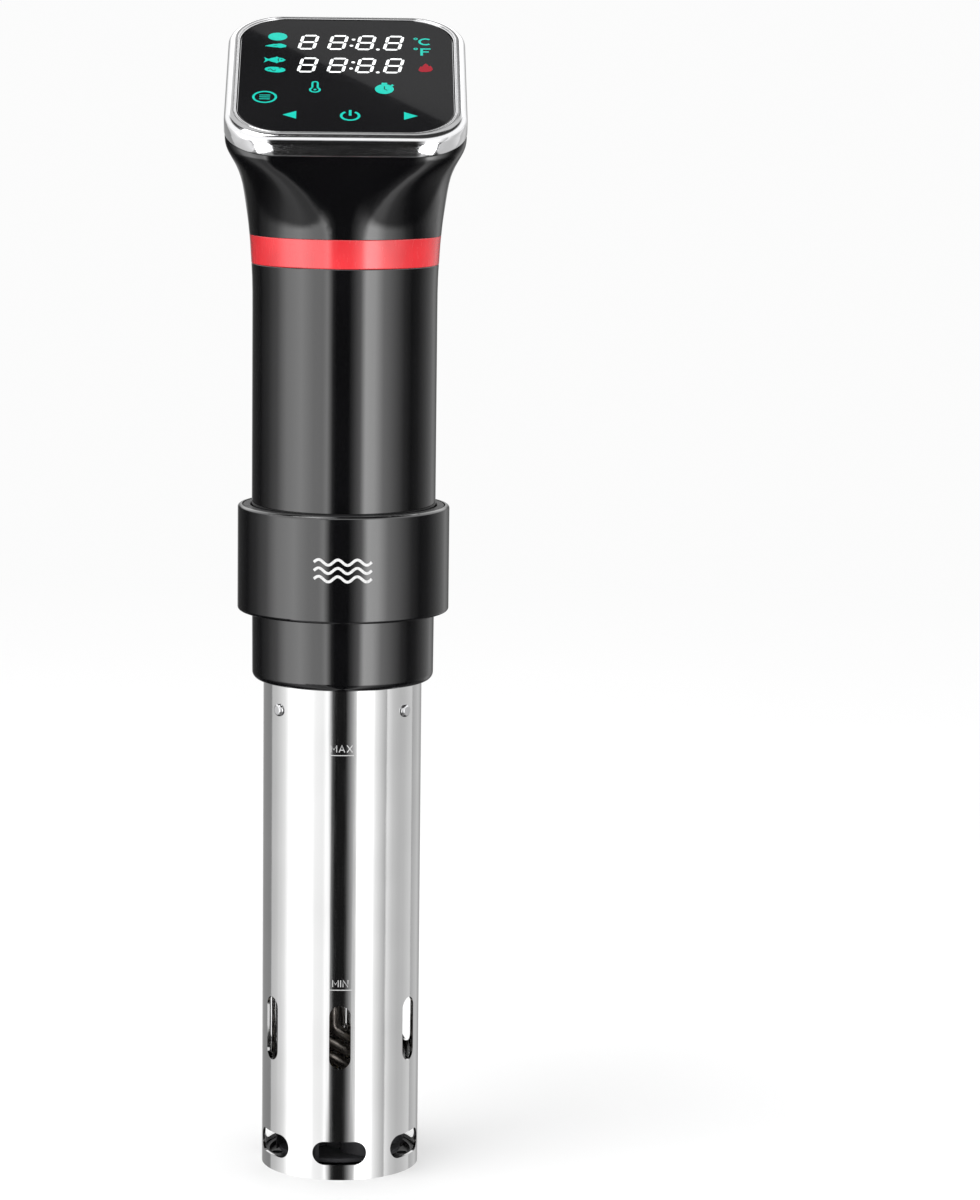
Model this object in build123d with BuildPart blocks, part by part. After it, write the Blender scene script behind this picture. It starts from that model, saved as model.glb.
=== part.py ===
"""Sous vide circulator: a water-bath heater and pump, held to a pot's wall by a sliding clamp.

Frame: millimetres, +Z up, the display faces -Y. The origin is the centre of the bottom face,
on the pump's axis. Angles round the axis are measured from the front (-Y) towards +X.
"""

import os
from math import atan2, cos, degrees, exp, radians, sin

from build123d import *

os.makedirs("parts", exist_ok=True)

# ---------------------------------------------------------------- driving dimensions

# steel sleeve round the water space
SLEEVE_R = 25.0
SLEEVE_WALL = 0.8
SLEEVE_TOP = 159.5
SLEEVE_BORE = SLEEVE_R - SLEEVE_WALL
INLET_WIDTH, INLET_HEIGHT, INLET_Z = 6.8, 20.5, 46.2
OUTLET_WIDTH, OUTLET_HEIGHT, OUTLET_Z = 17.0, 7.5, 8.6
PORT_COUNT = 6
SLEEVE_SCREW_ANGLES = (-51.5, 51.5, 128.5, -128.5)
SLEEVE_SCREW_Z = 149.2

# black handle tube
BODY_BOTTOM, BODY_TOP = 157.0, 288.0
BODY_R_BOTTOM, BODY_R_MIDDLE, BODY_R_TOP = 28.6, 28.9, 29.25
BODY_FLARE_Z = 272.0
BODY_BORE = 26.6
BODY_LIP_Z = 160.0

# red band and flared neck
BAND_TOP = 297.0
BAND_R = 29.9
NECK_WALL = 2.4
SPIGOT_R, SPIGOT_BORE, SPIGOT_BOTTOM = 26.5, 24.4, 280.0
GLAND_Z, GLAND_R, GLAND_FACE_Y = 317.0, 6.0, 36.0
CORD_R = 3.6
SEAT_GAP = 0.04

# tilted control panel
PANEL_TILT = 27.0
PANEL_CENTRE = (0, -1.8, 346.4)
BEZEL_X, BEZEL_Y, BEZEL_CORNER, BEZEL_DEPTH = 74.4, 80.0, 16.0, 7.0
GLASS_X, GLASS_Y, GLASS_CORNER, GLASS_SHIFT = 66.6, 72.8, 14.4, 0.5
GLASS_TOP, GLASS_THICK = -0.4, 1.8
LEDGE_W = -2.8
NECK_INSET = 0.6

# clamp collar
COLLAR_R, COLLAR_BORE = 33.3, 30.5
COLLAR_BOTTOM, COLLAR_TOP = 179.0, 212.4
LINER_BORE, LINER_R, LIP_R, LIP_THICK = 29.25, 30.2, 31.7, 1.2
RUN_GAP = 0.3
JAW_HALF_WIDTH, JAW_FACE_Y, JAW_PAD_THICK = 12.0, 37.0, 2.0
LEG_IN_Y, LEG_OUT_Y, LEG_BOTTOM = 57.0, 66.0, 168.0
BRIDGE_BOTTOM = 204.0
SCREW_Z, SCREW_R = 184.0, 3.95
PAD_FACE_Y, PAD_THICK, PAD_R = 53.2, 3.5, 8.0
KNOB_IN_Y, KNOB_THICK, KNOB_R = 81.5, 12.0, 11.0

# pump shaft line
SHAFT_R = 2.5
SHAFT_BOTTOM, SHAFT_TOP = 3.6, 181.5
IMPELLER_BOTTOM, IMPELLER_TOP, IMPELLER_R, IMPELLER_HUB_R = 4.2, 14.0, 20.5, 6.0

# base that closes the handle and carries the heater, probes and shaft
BASE_FLANGE_R, BASE_FLANGE_TOP = 26.4, 166.0
BASE_SPIGOT_R, BASE_SPIGOT_BOTTOM = 24.1, 140.0
BASE_BOSS_R, BASE_BOSS_TOP = 9.0, 172.0

# heater
HEATER_R = 1.7
COIL_R, COIL_TOP, COIL_PITCH, COIL_TURNS = 15.0, 43.3, 4.8, 4
HEATER_TOP = 172.0

# probes and lower shaft support
PROBE_R, PROBE_POS, PROBE_TIP_Z = 1.5, (2.2, -15.0), 47.6
LEVEL_R, LEVEL_RADIUS, LEVEL_ANGLES, LEVEL_TIP_Z = 1.2, 18.5, (80.0, 100.0), 60.0
STAY_R, STAY_RADIUS, STAY_ANGLES = 1.5, 20.5, (30.0, 150.0, 270.0)
SPIDER_BOTTOM, SPIDER_THICK = 20.0, 2.0
BUSH_R = 5.0

# motor
MOTOR_PLATE_Z, MOTOR_PLATE_THICK = 190.0, 2.0
MOTOR_R, MOTOR_HEIGHT, MOTOR_WALL = 15.0, 36.0, 1.2
MOTOR_BOTTOM = MOTOR_PLATE_Z + MOTOR_PLATE_THICK
MOTOR_TOP = MOTOR_BOTTOM + MOTOR_HEIGHT
MOTOR_SHAFT_R = 1.6
STANDOFF_RADIUS, STANDOFF_ANGLES = 20.5, (60.0, 180.0, 300.0)

# boards
CARRIER_Z, CARRIER_THICK, CARRIER_R = 236.0, 2.0, 26.2
POWER_BOARD_Y, BOARD_THICK, POWER_BOARD_HALF_X = -6.0, 1.6, 21.0
POWER_BOARD_BOTTOM, POWER_BOARD_TOP = 239.0, 288.0
DISPLAY_BOARD_W, DISPLAY_BOARD_X, DISPLAY_BOARD_Y = -8.4, 60.0, 63.0
POST_X, POST_Y = 26.0, 27.5
LEAD_R, LEAD_X, LEAD_Y = 1.1, 9.0, 19.5

PANEL = Plane(
    origin=PANEL_CENTRE,
    x_dir=(1, 0, 0),
    z_dir=(0, -sin(radians(PANEL_TILT)), cos(radians(PANEL_TILT))),
)


# ---------------------------------------------------------------- helpers


def save(piece, name):
    """Labels a finished piece and writes its STEP file."""
    piece.part.label = name
    export_step(piece.part, f"parts/{name}.step")


def spot(angle, radius, height=0.0):
    """The point at an angle from the front, a radius from the axis and a height."""
    return (radius * sin(radians(angle)), -radius * cos(radians(angle)), height)


def facing(angle, radius, height):
    """A plane at that spot whose normal points straight out from the axis."""
    out = spot(angle, 1.0)
    return Plane(origin=spot(angle, radius, height), x_dir=(-out[1], out[0], 0), z_dir=out)


def along_y(x, y, z):
    """A plane at that point whose normal is +Y, with local x along -X and local y up."""
    return Plane(origin=(x, y, z), x_dir=(-1, 0, 0), z_dir=(0, 1, 0))


def turned(*points):
    """The face of a turned profile, from (radius, height) points."""
    with BuildSketch(Plane.XZ) as profile:
        with BuildLine():
            Polyline(*points, close=True)
        make_face()
    return profile.sketch


def smooth(t):
    """0 below 0, 1 above 1, and an even S between."""
    t = min(1.0, max(0.0, t))
    return t * t * (3 - 2 * t)


# ---------------------------------------------------------------- steel sleeve

with BuildPart() as sleeve:
    with BuildSketch():
        Circle(SLEEVE_R)
        Circle(SLEEVE_BORE, mode=Mode.SUBTRACT)
    extrude(amount=SLEEVE_TOP)
    for port in range(PORT_COUNT):
        turn = port * 360 / PORT_COUNT
        with BuildSketch(facing(turn, SLEEVE_R, INLET_Z)):
            SlotOverall(INLET_HEIGHT, INLET_WIDTH, rotation=90)
        extrude(amount=3, both=True, mode=Mode.SUBTRACT)
        with BuildSketch(facing(turn, SLEEVE_R - 1, OUTLET_Z)):
            SlotOverall(OUTLET_WIDTH, OUTLET_HEIGHT)
        extrude(amount=4, both=True, mode=Mode.SUBTRACT)
    for turn in SLEEVE_SCREW_ANGLES:
        with BuildSketch(facing(turn, SLEEVE_R, SLEEVE_SCREW_Z)):
            Circle(1.6)
        extrude(amount=2, both=True, mode=Mode.SUBTRACT)
save(sleeve, "steel_sleeve")

with BuildPart() as sleeve_screws:
    for turn in SLEEVE_SCREW_ANGLES:
        with BuildSketch(facing(turn, SLEEVE_R - 6, SLEEVE_SCREW_Z)):
            Circle(1.4)
        extrude(amount=6.2)
        with BuildSketch(facing(turn, SLEEVE_R + 0.05, SLEEVE_SCREW_Z)):
            Circle(2.05)
        head = extrude(amount=1.1)
        dome = head.edges().filter_by(GeomType.CIRCLE).sort_by(SortBy.DISTANCE, reverse=False)
        outer = max(dome, key=lambda edge: (edge.arc_center.X**2 + edge.arc_center.Y**2))
        fillet(outer, 1.0)
save(sleeve_screws, "sleeve_screws")

# ---------------------------------------------------------------- bottom cap

CAP_R, CAP_SKIRT_BORE, CAP_TOP, CAP_FLOOR = SLEEVE_BORE - RUN_GAP, 22.6, 3.4, 2.0
with BuildPart() as bottom_cap:
    with BuildSketch():
        Circle(CAP_R)
    extrude(amount=CAP_TOP)
    with BuildSketch(Plane.XY.offset(CAP_FLOOR)):
        Circle(CAP_SKIRT_BORE)
    extrude(amount=CAP_TOP, mode=Mode.SUBTRACT)
    with BuildSketch():
        for ring_r, count in ((9.5, 6), (15.0, 12), (20.0, 16)):
            with PolarLocations(ring_r, count):
                Circle(1.7)
    extrude(amount=CAP_TOP, mode=Mode.SUBTRACT)
    rims = bottom_cap.edges().filter_by(GeomType.CIRCLE).filter_by(lambda e: e.radius > 23)
    chamfer(rims.sort_by(Axis.Z)[0], 0.5)
save(bottom_cap, "bottom_cap")

# ---------------------------------------------------------------- handle tube

with BuildPart() as body_tube:
    with BuildSketch(Plane.XZ):
        with BuildLine():
            low = (BODY_R_BOTTOM, BODY_BOTTOM)
            Line((SLEEVE_R + 0.2, BODY_BOTTOM), low)
            Line(low, (BODY_R_MIDDLE, COLLAR_TOP))
            Line((BODY_R_MIDDLE, COLLAR_TOP), (BODY_R_MIDDLE, BODY_FLARE_Z))
            Spline(
                (BODY_R_MIDDLE, BODY_FLARE_Z),
                (BODY_R_TOP, BODY_TOP),
                tangents=((0, 1), (0.07, 1)),
            )
            Polyline(
                (BODY_R_TOP, BODY_TOP),
                (BODY_BORE + 0.2, BODY_TOP),
                (BODY_BORE, BODY_TOP - 10),
                (BODY_BORE, BODY_LIP_Z),
                (SLEEVE_R + 0.2, BODY_LIP_Z),
                (SLEEVE_R + 0.2, BODY_BOTTOM),
            )
        make_face()
    revolve(axis=Axis.Z)
    rims = body_tube.edges().filter_by(GeomType.CIRCLE)
    fillet(rims.filter_by(lambda e: abs(e.radius - BODY_R_BOTTOM) < 0.01), 2.4)
    fillet(rims.filter_by(lambda e: abs(e.radius - BODY_R_TOP) < 0.01), 0.3)
    with BuildSketch(Plane.XY.offset(BASE_FLANGE_TOP + 0.3)):
        Circle(BODY_BORE + 0.8)
        Circle(BODY_BORE - 0.5, mode=Mode.SUBTRACT)
    extrude(amount=1.6, mode=Mode.SUBTRACT)
save(body_tube, "handle_tube")

# ---------------------------------------------------------------- red band

with BuildPart() as red_band:
    with BuildSketch(Plane.XZ):
        with BuildLine():
            Spline((BODY_R_TOP, BODY_TOP), (BAND_R, BAND_TOP), tangents=((0.07, 1), (0.12, 1)))
            Polyline(
                (BAND_R, BAND_TOP),
                (SPIGOT_R + 0.3, BAND_TOP),
                (SPIGOT_R + 0.3, BODY_TOP),
                (BODY_R_TOP, BODY_TOP),
            )
        make_face()
    revolve(axis=Axis.Z)
    fillet(red_band.edges().filter_by(GeomType.CIRCLE).filter_by(lambda e: e.radius > 29), 0.3)
save(red_band, "red_band")

# ---------------------------------------------------------------- flared neck shell

NECK_TOP_CENTRE = PANEL.offset(-BEZEL_DEPTH).origin
NECK_STEPS = (0.0, 0.2, 0.4, 0.6, 0.8, 1.0)
FLARE_SHOULDER, FLARE_LENGTH = 0.17, 0.435
NECK_TOP_HALF_X = BEZEL_X / 2 - NECK_INSET
NECK_TOP_HALF_Y = BEZEL_Y / 2 - NECK_INSET
NECK_TOP_CORNER = BEZEL_CORNER - NECK_INSET
RIM_X, RIM_Y, RIM_CORNER = GLASS_X - 1.8, GLASS_Y - 1.8, GLASS_CORNER - 0.9


def side_flare(step):
    """How much of the panel's extra width the neck still has: all of it down to the shoulder."""
    if step <= FLARE_SHOULDER:
        return 1.0
    return exp(-(((step - FLARE_SHOULDER) / FLARE_LENGTH) ** 1.2)) * (1 - step**6)


def outline_points(half_x, half_y, corner, roundness):
    """Points round a rounded rectangle (roundness 0), an ellipse (1) or a shape between."""
    points = []
    for quarter in range(4):
        to_x = 1 if quarter in (0, 3) else -1
        to_y = 1 if quarter in (0, 1) else -1
        centre_x, centre_y = to_x * (half_x - corner), to_y * (half_y - corner)
        arc = [radians(90 * quarter + 15 * number) for number in range(7)]
        square = [(centre_x + corner * cos(a), centre_y + corner * sin(a)) for a in arc]
        x, y = square[-1]
        for share in (0.25, 0.5, 0.75):
            if quarter in (0, 2):
                square.append((x * (1 - 2 * share), y))
            else:
                square.append((x, y * (1 - 2 * share)))
        for number, (x, y) in enumerate(square):
            a = radians(90 * quarter + 45 + 9 * (number - 3))
            round_x, round_y = half_x * cos(a), half_y * sin(a)
            points.append((x + (round_x - x) * roundness, y + (round_y - y) * roundness))
    return points


def neck_outline(step, inset):
    """The neck's outline, from the tilted rounded square (step 0) to the circle (step 1)."""
    tilt = radians(PANEL_TILT * (1 - step))
    height = NECK_TOP_CENTRE.Z + (BAND_TOP - NECK_TOP_CENTRE.Z) * step
    level = Plane(
        origin=(0, NECK_TOP_CENTRE.Y * (1 - step), height),
        x_dir=(1, 0, 0),
        z_dir=(0, -sin(tilt), cos(tilt)),
    )
    half_x = BAND_R + (NECK_TOP_HALF_X - BAND_R) * side_flare(step) - inset
    half_y = BAND_R + (NECK_TOP_HALF_Y - BAND_R) * (1 - step) ** 1.5 - inset
    with BuildSketch(level) as outline:
        with BuildLine():
            Spline(*outline_points(half_x, half_y, NECK_TOP_CORNER - inset, smooth(step)), periodic=True)
        make_face()
    return outline.sketch.face()


with BuildPart() as neck_solid:
    loft([neck_outline(step, 0) for step in NECK_STEPS])

with BuildPart() as neck:
    add(neck_solid.part)
    with BuildSketch(along_y(0, BAND_R - 4, GLAND_Z)):
        Circle(9.5)
    extrude(amount=GLAND_FACE_Y - BAND_R + 4)
    fillet(neck.faces().sort_by(Axis.Y)[-1].edges(), 1.2)
    loft([neck_outline(step, NECK_WALL) for step in NECK_STEPS], mode=Mode.SUBTRACT)
    # shelf and rim that locate the bezel
    with BuildSketch(PANEL.offset(-BEZEL_DEPTH - 1.5)):
        RectangleRounded(2 * NECK_TOP_HALF_X - 2, 2 * NECK_TOP_HALF_Y - 2, NECK_TOP_CORNER - 1)
        with Locations((0, GLASS_SHIFT)):
            RectangleRounded(RIM_X - 2.6, RIM_Y - 2.6, RIM_CORNER - 1.3, mode=Mode.SUBTRACT)
    extrude(amount=1.5)
    with BuildSketch(PANEL.offset(-BEZEL_DEPTH)):
        with Locations((0, GLASS_SHIFT)):
            RectangleRounded(RIM_X, RIM_Y, RIM_CORNER)
            RectangleRounded(RIM_X - 2.6, RIM_Y - 2.6, RIM_CORNER - 1.3, mode=Mode.SUBTRACT)
    extrude(amount=2.2)
    # shoulder and spigot that plug into the band and the handle tube
    with BuildSketch(Plane.XY.offset(BAND_TOP)):
        Circle(BAND_R - NECK_WALL + 0.4)
        Circle(SPIGOT_BORE, mode=Mode.SUBTRACT)
    extrude(amount=2.4)
    with BuildSketch(Plane.XY.offset(SPIGOT_BOTTOM)):
        Circle(SPIGOT_R)
        Circle(SPIGOT_BORE, mode=Mode.SUBTRACT)
    extrude(amount=BAND_TOP - SPIGOT_BOTTOM)
    # gland hole
    with BuildSketch(along_y(0, BAND_R - 8, GLAND_Z)):
        Circle(GLAND_R)
    extrude(amount=20, mode=Mode.SUBTRACT)

with BuildPart() as board_posts:
    with BuildSketch(PANEL.offset(DISPLAY_BOARD_W - BOARD_THICK)):
        with GridLocations(2 * POST_X, 2 * POST_Y, 2, 2):
            Circle(2.8)
    extrude(amount=-26)
    add(neck_solid.part, mode=Mode.INTERSECT)

with BuildPart() as neck_shell:
    add(neck.part)
    add(board_posts.part)
    with BuildSketch(PANEL.offset(DISPLAY_BOARD_W - BOARD_THICK)):
        with GridLocations(2 * POST_X, 2 * POST_Y, 2, 2):
            Circle(1.1)
    extrude(amount=-8, mode=Mode.SUBTRACT)
save(neck_shell, "neck_shell")

# ---------------------------------------------------------------- cord gland

with BuildPart() as cord_gland:
    with BuildSketch(along_y(0, BAND_R - 6, GLAND_Z)):
        Circle(GLAND_R - SEAT_GAP)
    extrude(amount=GLAND_FACE_Y - BAND_R + 6)
    with BuildSketch(along_y(0, GLAND_FACE_Y, GLAND_Z)):
        Circle(7.6)
    extrude(amount=2.0)
    with BuildSketch(along_y(0, GLAND_FACE_Y + 2.0, GLAND_Z)):
        Circle(6.4)
    extrude(amount=6.0, taper=9)
    with BuildSketch(along_y(0, BAND_R - 6, GLAND_Z)):
        Circle(CORD_R)
    extrude(amount=30, mode=Mode.SUBTRACT)
save(cord_gland, "cord_gland")

# ---------------------------------------------------------------- control panel

with BuildPart() as bezel:
    with BuildSketch(PANEL):
        RectangleRounded(BEZEL_X, BEZEL_Y, BEZEL_CORNER)
    extrude(amount=-BEZEL_DEPTH)
    fillet(bezel.faces().sort_by(Axis.Z)[-1].edges(), 1.7)
    with BuildSketch(PANEL):
        with Locations((0, GLASS_SHIFT)):
            RectangleRounded(GLASS_X + 0.3, GLASS_Y + 0.3, GLASS_CORNER + 0.15)
    extrude(amount=LEDGE_W, mode=Mode.SUBTRACT)
    with BuildSketch(PANEL):
        with Locations((0, GLASS_SHIFT)):
            RectangleRounded(GLASS_X - 1.6, GLASS_Y - 1.6, GLASS_CORNER - 0.8)
    extrude(amount=-BEZEL_DEPTH, mode=Mode.SUBTRACT)
save(bezel, "chrome_bezel")

with BuildPart() as glass:
    with BuildSketch(PANEL.offset(GLASS_TOP)):
        with Locations((0, GLASS_SHIFT)):
            RectangleRounded(GLASS_X, GLASS_Y, GLASS_CORNER)
    extrude(amount=-GLASS_THICK)
    chamfer(glass.faces().sort_by(Axis.Z)[-1].edges(), 0.3)
save(glass, "panel_glass")

GASKET_TOP = GLASS_TOP - GLASS_THICK
with BuildPart() as gasket:
    with BuildSketch(PANEL.offset(GASKET_TOP)):
        with Locations((0, GLASS_SHIFT)):
            RectangleRounded(GLASS_X - 0.2, GLASS_Y - 0.2, GLASS_CORNER - 0.1)
            RectangleRounded(GLASS_X - 1.8, GLASS_Y - 1.8, GLASS_CORNER - 0.9, mode=Mode.SUBTRACT)
    extrude(amount=LEDGE_W - GASKET_TOP)
save(gasket, "panel_gasket")

with BuildPart() as display_board:
    with BuildSketch(PANEL.offset(DISPLAY_BOARD_W - BOARD_THICK)):
        RectangleRounded(DISPLAY_BOARD_X, DISPLAY_BOARD_Y, 8)
        with GridLocations(2 * POST_X, 2 * POST_Y, 2, 2):
            Circle(1.3, mode=Mode.SUBTRACT)
    extrude(amount=BOARD_THICK)
save(display_board, "display_board")

with BuildPart() as board_screws:
    with BuildSketch(PANEL.offset(DISPLAY_BOARD_W)):
        with GridLocations(2 * POST_X, 2 * POST_Y, 2, 2):
            Circle(2.2)
    extrude(amount=1.3)
    with BuildSketch(PANEL.offset(DISPLAY_BOARD_W)):
        with GridLocations(2 * POST_X, 2 * POST_Y, 2, 2):
            Circle(1.05)
    extrude(amount=-7.5)
save(board_screws, "display_board_screws")

DIGIT_ROWS = (19.5, 7.0)
with BuildPart() as led_digits:
    for row in DIGIT_ROWS:
        with BuildSketch(PANEL.offset(DISPLAY_BOARD_W)):
            with Locations((0, row)):
                Rectangle(36.0, 11.5)
        extrude(amount=5.2)
save(led_digits, "led_digit_modules")

KEYS = ((-21.0, -14.0), (-10.0, -9.0), (8.5, -9.0), (-16.0, -24.5), (0.5, -24.5), (17.0, -24.5))
with BuildPart() as touch_springs:
    with BuildSketch(PANEL.offset(DISPLAY_BOARD_W)):
        with Locations(*KEYS):
            Circle(3.4)
            Circle(2.6, mode=Mode.SUBTRACT)
    extrude(amount=5.4)
    with BuildSketch(PANEL.offset(DISPLAY_BOARD_W + 5.4)):
        with Locations(*KEYS):
            Circle(3.4)
    extrude(amount=0.5)
save(touch_springs, "touch_key_springs")

LED_HEIGHTS_LEFT = (23.5, 17.5, 9.8, 4.0)
LED_HEIGHTS_RIGHT = (21.5, 15.5, 6.0)
with BuildPart() as indicator_leds:
    with BuildSketch(PANEL.offset(DISPLAY_BOARD_W)):
        for side, heights in ((-22.5, LED_HEIGHTS_LEFT), (22.5, LED_HEIGHTS_RIGHT)):
            with Locations(*[(side, height) for height in heights]):
                Rectangle(3.2, 1.6)
    extrude(amount=0.9)
save(indicator_leds, "indicator_leds")

with BuildPart() as buzzer:
    with BuildSketch(PANEL.offset(DISPLAY_BOARD_W - BOARD_THICK)):
        with Locations((12.0, 14.0)):
            Circle(6.0)
    extrude(amount=-4.5)
    with BuildSketch(PANEL.offset(DISPLAY_BOARD_W - BOARD_THICK - 4.5)):
        with Locations((12.0, 14.0)):
            Circle(1.0)
    extrude(amount=2.0, mode=Mode.SUBTRACT)
save(buzzer, "buzzer")

# ---------------------------------------------------------------- clamp collar

with BuildPart() as liner:
    add(
        turned(
            (LINER_BORE, COLLAR_BOTTOM),
            (LIP_R, COLLAR_BOTTOM),
            (LIP_R, COLLAR_BOTTOM + LIP_THICK),
            (LINER_R, COLLAR_BOTTOM + LIP_THICK),
            (LINER_R, COLLAR_TOP - LIP_THICK),
            (LIP_R, COLLAR_TOP - LIP_THICK),
            (LIP_R, COLLAR_TOP),
            (LINER_BORE, COLLAR_TOP),
        )
    )
    revolve(axis=Axis.Z)
    fillet(liner.edges().filter_by(GeomType.CIRCLE).sort_by(Axis.Z)[-2:], 0.4)
save(liner, "clamp_liner")

SEAT = LIP_THICK + RUN_GAP
with BuildPart() as collar:
    with BuildSketch(Plane.XY.offset(COLLAR_BOTTOM)):
        Circle(COLLAR_R)
    extrude(amount=COLLAR_TOP - COLLAR_BOTTOM)
    fillet(collar.edges().filter_by(GeomType.CIRCLE), 1.0)
    with BuildSketch(Plane.YZ):
        with BuildLine():
            FilletPolyline(
                (26.0, COLLAR_BOTTOM + 1.0),
                (JAW_FACE_Y, COLLAR_BOTTOM + 1.0),
                (JAW_FACE_Y, BRIDGE_BOTTOM),
                (LEG_IN_Y, BRIDGE_BOTTOM),
                (LEG_IN_Y, LEG_BOTTOM),
                (LEG_OUT_Y, LEG_BOTTOM),
                (LEG_OUT_Y, COLLAR_TOP),
                (26.0, COLLAR_TOP),
                radius=(0.8, 2.5, 2.5, 1.5, 1.5, 5.0),
            )
            Line((26.0, COLLAR_TOP), (26.0, COLLAR_BOTTOM + 1.0))
        make_face()
    extrude(amount=JAW_HALF_WIDTH, both=True)
    with BuildSketch(Plane.XY.offset(COLLAR_BOTTOM)):
        Circle(COLLAR_BORE)
    extrude(amount=COLLAR_TOP - COLLAR_BOTTOM, mode=Mode.SUBTRACT)
    for level in (COLLAR_BOTTOM, COLLAR_TOP - SEAT):
        with BuildSketch(Plane.XY.offset(level)):
            Circle(LIP_R + RUN_GAP)
        extrude(amount=SEAT, mode=Mode.SUBTRACT)
    with BuildSketch(along_y(0, LEG_IN_Y, SCREW_Z)):
        Circle(6.5)
    extrude(amount=LEG_OUT_Y - LEG_IN_Y, mode=Mode.SUBTRACT)
save(collar, "clamp_collar")

with BuildPart() as clamp_nut:
    with BuildSketch(along_y(0, LEG_IN_Y, SCREW_Z)):
        Circle(6.45)
        Circle(SCREW_R + 0.06, mode=Mode.SUBTRACT)
    extrude(amount=LEG_OUT_Y - LEG_IN_Y)
    with BuildSketch(along_y(0, LEG_OUT_Y, SCREW_Z)):
        Circle(7.6)
        Circle(SCREW_R + 0.06, mode=Mode.SUBTRACT)
    extrude(amount=1.2)
save(clamp_nut, "clamp_nut")

with BuildPart() as jaw_pad:
    with BuildSketch(along_y(0, JAW_FACE_Y, 190.5)):
        RectangleRounded(20, 18, 2.5)
    extrude(amount=JAW_PAD_THICK)
save(jaw_pad, "jaw_pad")

SOCKET_DEPTH = 2.2
TIP_R = 2.5
with BuildPart() as clamp_pad:
    with BuildSketch(along_y(0, PAD_FACE_Y, SCREW_Z)):
        Circle(PAD_R)
    extrude(amount=PAD_THICK)
    chamfer(clamp_pad.edges().filter_by(GeomType.CIRCLE), 0.6)
    with BuildSketch(along_y(0, PAD_FACE_Y + PAD_THICK - SOCKET_DEPTH, SCREW_Z)):
        Circle(TIP_R + 0.06)
    extrude(amount=SOCKET_DEPTH, mode=Mode.SUBTRACT)
save(clamp_pad, "clamp_pad")

TIP_Y = PAD_FACE_Y + PAD_THICK - SOCKET_DEPTH + 0.1
with BuildPart() as clamp_screw:
    with BuildSketch(along_y(0, TIP_Y, SCREW_Z)):
        Circle(TIP_R)
    extrude(amount=2.4)
    with BuildSketch(along_y(0, TIP_Y + 2.4, SCREW_Z)):
        Circle(SCREW_R)
    extrude(amount=KNOB_IN_Y + 8 - TIP_Y - 2.4)
    chamfer(clamp_screw.faces().sort_by(Axis.Y)[-1].edges(), 0.5)
save(clamp_screw, "clamp_screw")

with BuildPart() as knob:
    with BuildSketch(along_y(0, KNOB_IN_Y, SCREW_Z)):
        Circle(KNOB_R)
        with PolarLocations(KNOB_R + 2.2, 8):
            Circle(3.6, mode=Mode.SUBTRACT)
    extrude(amount=KNOB_THICK)
    fillet(knob.faces().sort_by(Axis.Y)[-1].edges(), 0.8)
    fillet(knob.faces().sort_by(Axis.Y)[0].edges(), 0.5)
    with BuildSketch(along_y(0, KNOB_IN_Y, SCREW_Z)):
        Circle(SCREW_R)
    extrude(amount=8, mode=Mode.SUBTRACT)
save(knob, "clamp_knob")

# ---------------------------------------------------------------- base with heater, probes and shaft seals

FOOT_BEND, RING_BEND, CROSSOVER_BEND, INWARD_BEND = 2.6, 14.5, 9.5, 6.0
RING_CORNERS = 12
RING_STEP = 360 / RING_CORNERS
LEG_B_ANGLE, LEG_B_RADIUS = -62.0, 10.6


def ring_corner(number, height):
    """A corner of the twelve-sided path whose rounded form is one heater turn."""
    half_step = RING_STEP / 2
    return spot(half_step + number * RING_STEP, COIL_R / cos(radians(half_step)), height)


leg_a = (-2.2, ring_corner(0, 0)[1])
leg_b = spot(LEG_B_ANGLE, LEG_B_RADIUS)[:2]
slope = COIL_PITCH / (2 * ring_corner(0, 0)[0])
foot_a_height = COIL_TOP + slope * (ring_corner(0, 0)[0] - leg_a[0])
coil_bottom = COIL_TOP - COIL_PITCH * (COIL_TURNS - 1)

rod_points = [(*leg_a, HEATER_TOP), (*leg_a, foot_a_height)]
rod_bends = [FOOT_BEND]
for turn in range(COIL_TURNS):
    last = turn == COIL_TURNS - 1
    for number in range(RING_CORNERS - 3 if last else RING_CORNERS):
        rod_points.append(ring_corner(number, COIL_TOP - turn * COIL_PITCH))
        rod_bends.append(CROSSOVER_BEND if number in (0, RING_CORNERS - 1) else RING_BEND)
rod_bends[-1] = INWARD_BEND
rod_points += [(*leg_b, coil_bottom), (*leg_b, HEATER_TOP)]
rod_bends.append(FOOT_BEND)

with BuildPart() as heater:
    with BuildLine() as rod_path:
        FilletPolyline(*rod_points, radius=rod_bends)
    with BuildSketch(Plane(origin=rod_points[0], z_dir=(0, 0, -1))):
        Circle(HEATER_R)
    sweep(path=rod_path.wires()[0])
save(heater, "heater_coil")

legs = (leg_a, leg_b)
level_spots = [spot(angle, LEVEL_RADIUS)[:2] for angle in LEVEL_ANGLES]
stay_spots = [spot(angle, STAY_RADIUS)[:2] for angle in STAY_ANGLES]
standoff_spots = [spot(angle, STANDOFF_RADIUS)[:2] for angle in STANDOFF_ANGLES]

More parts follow.
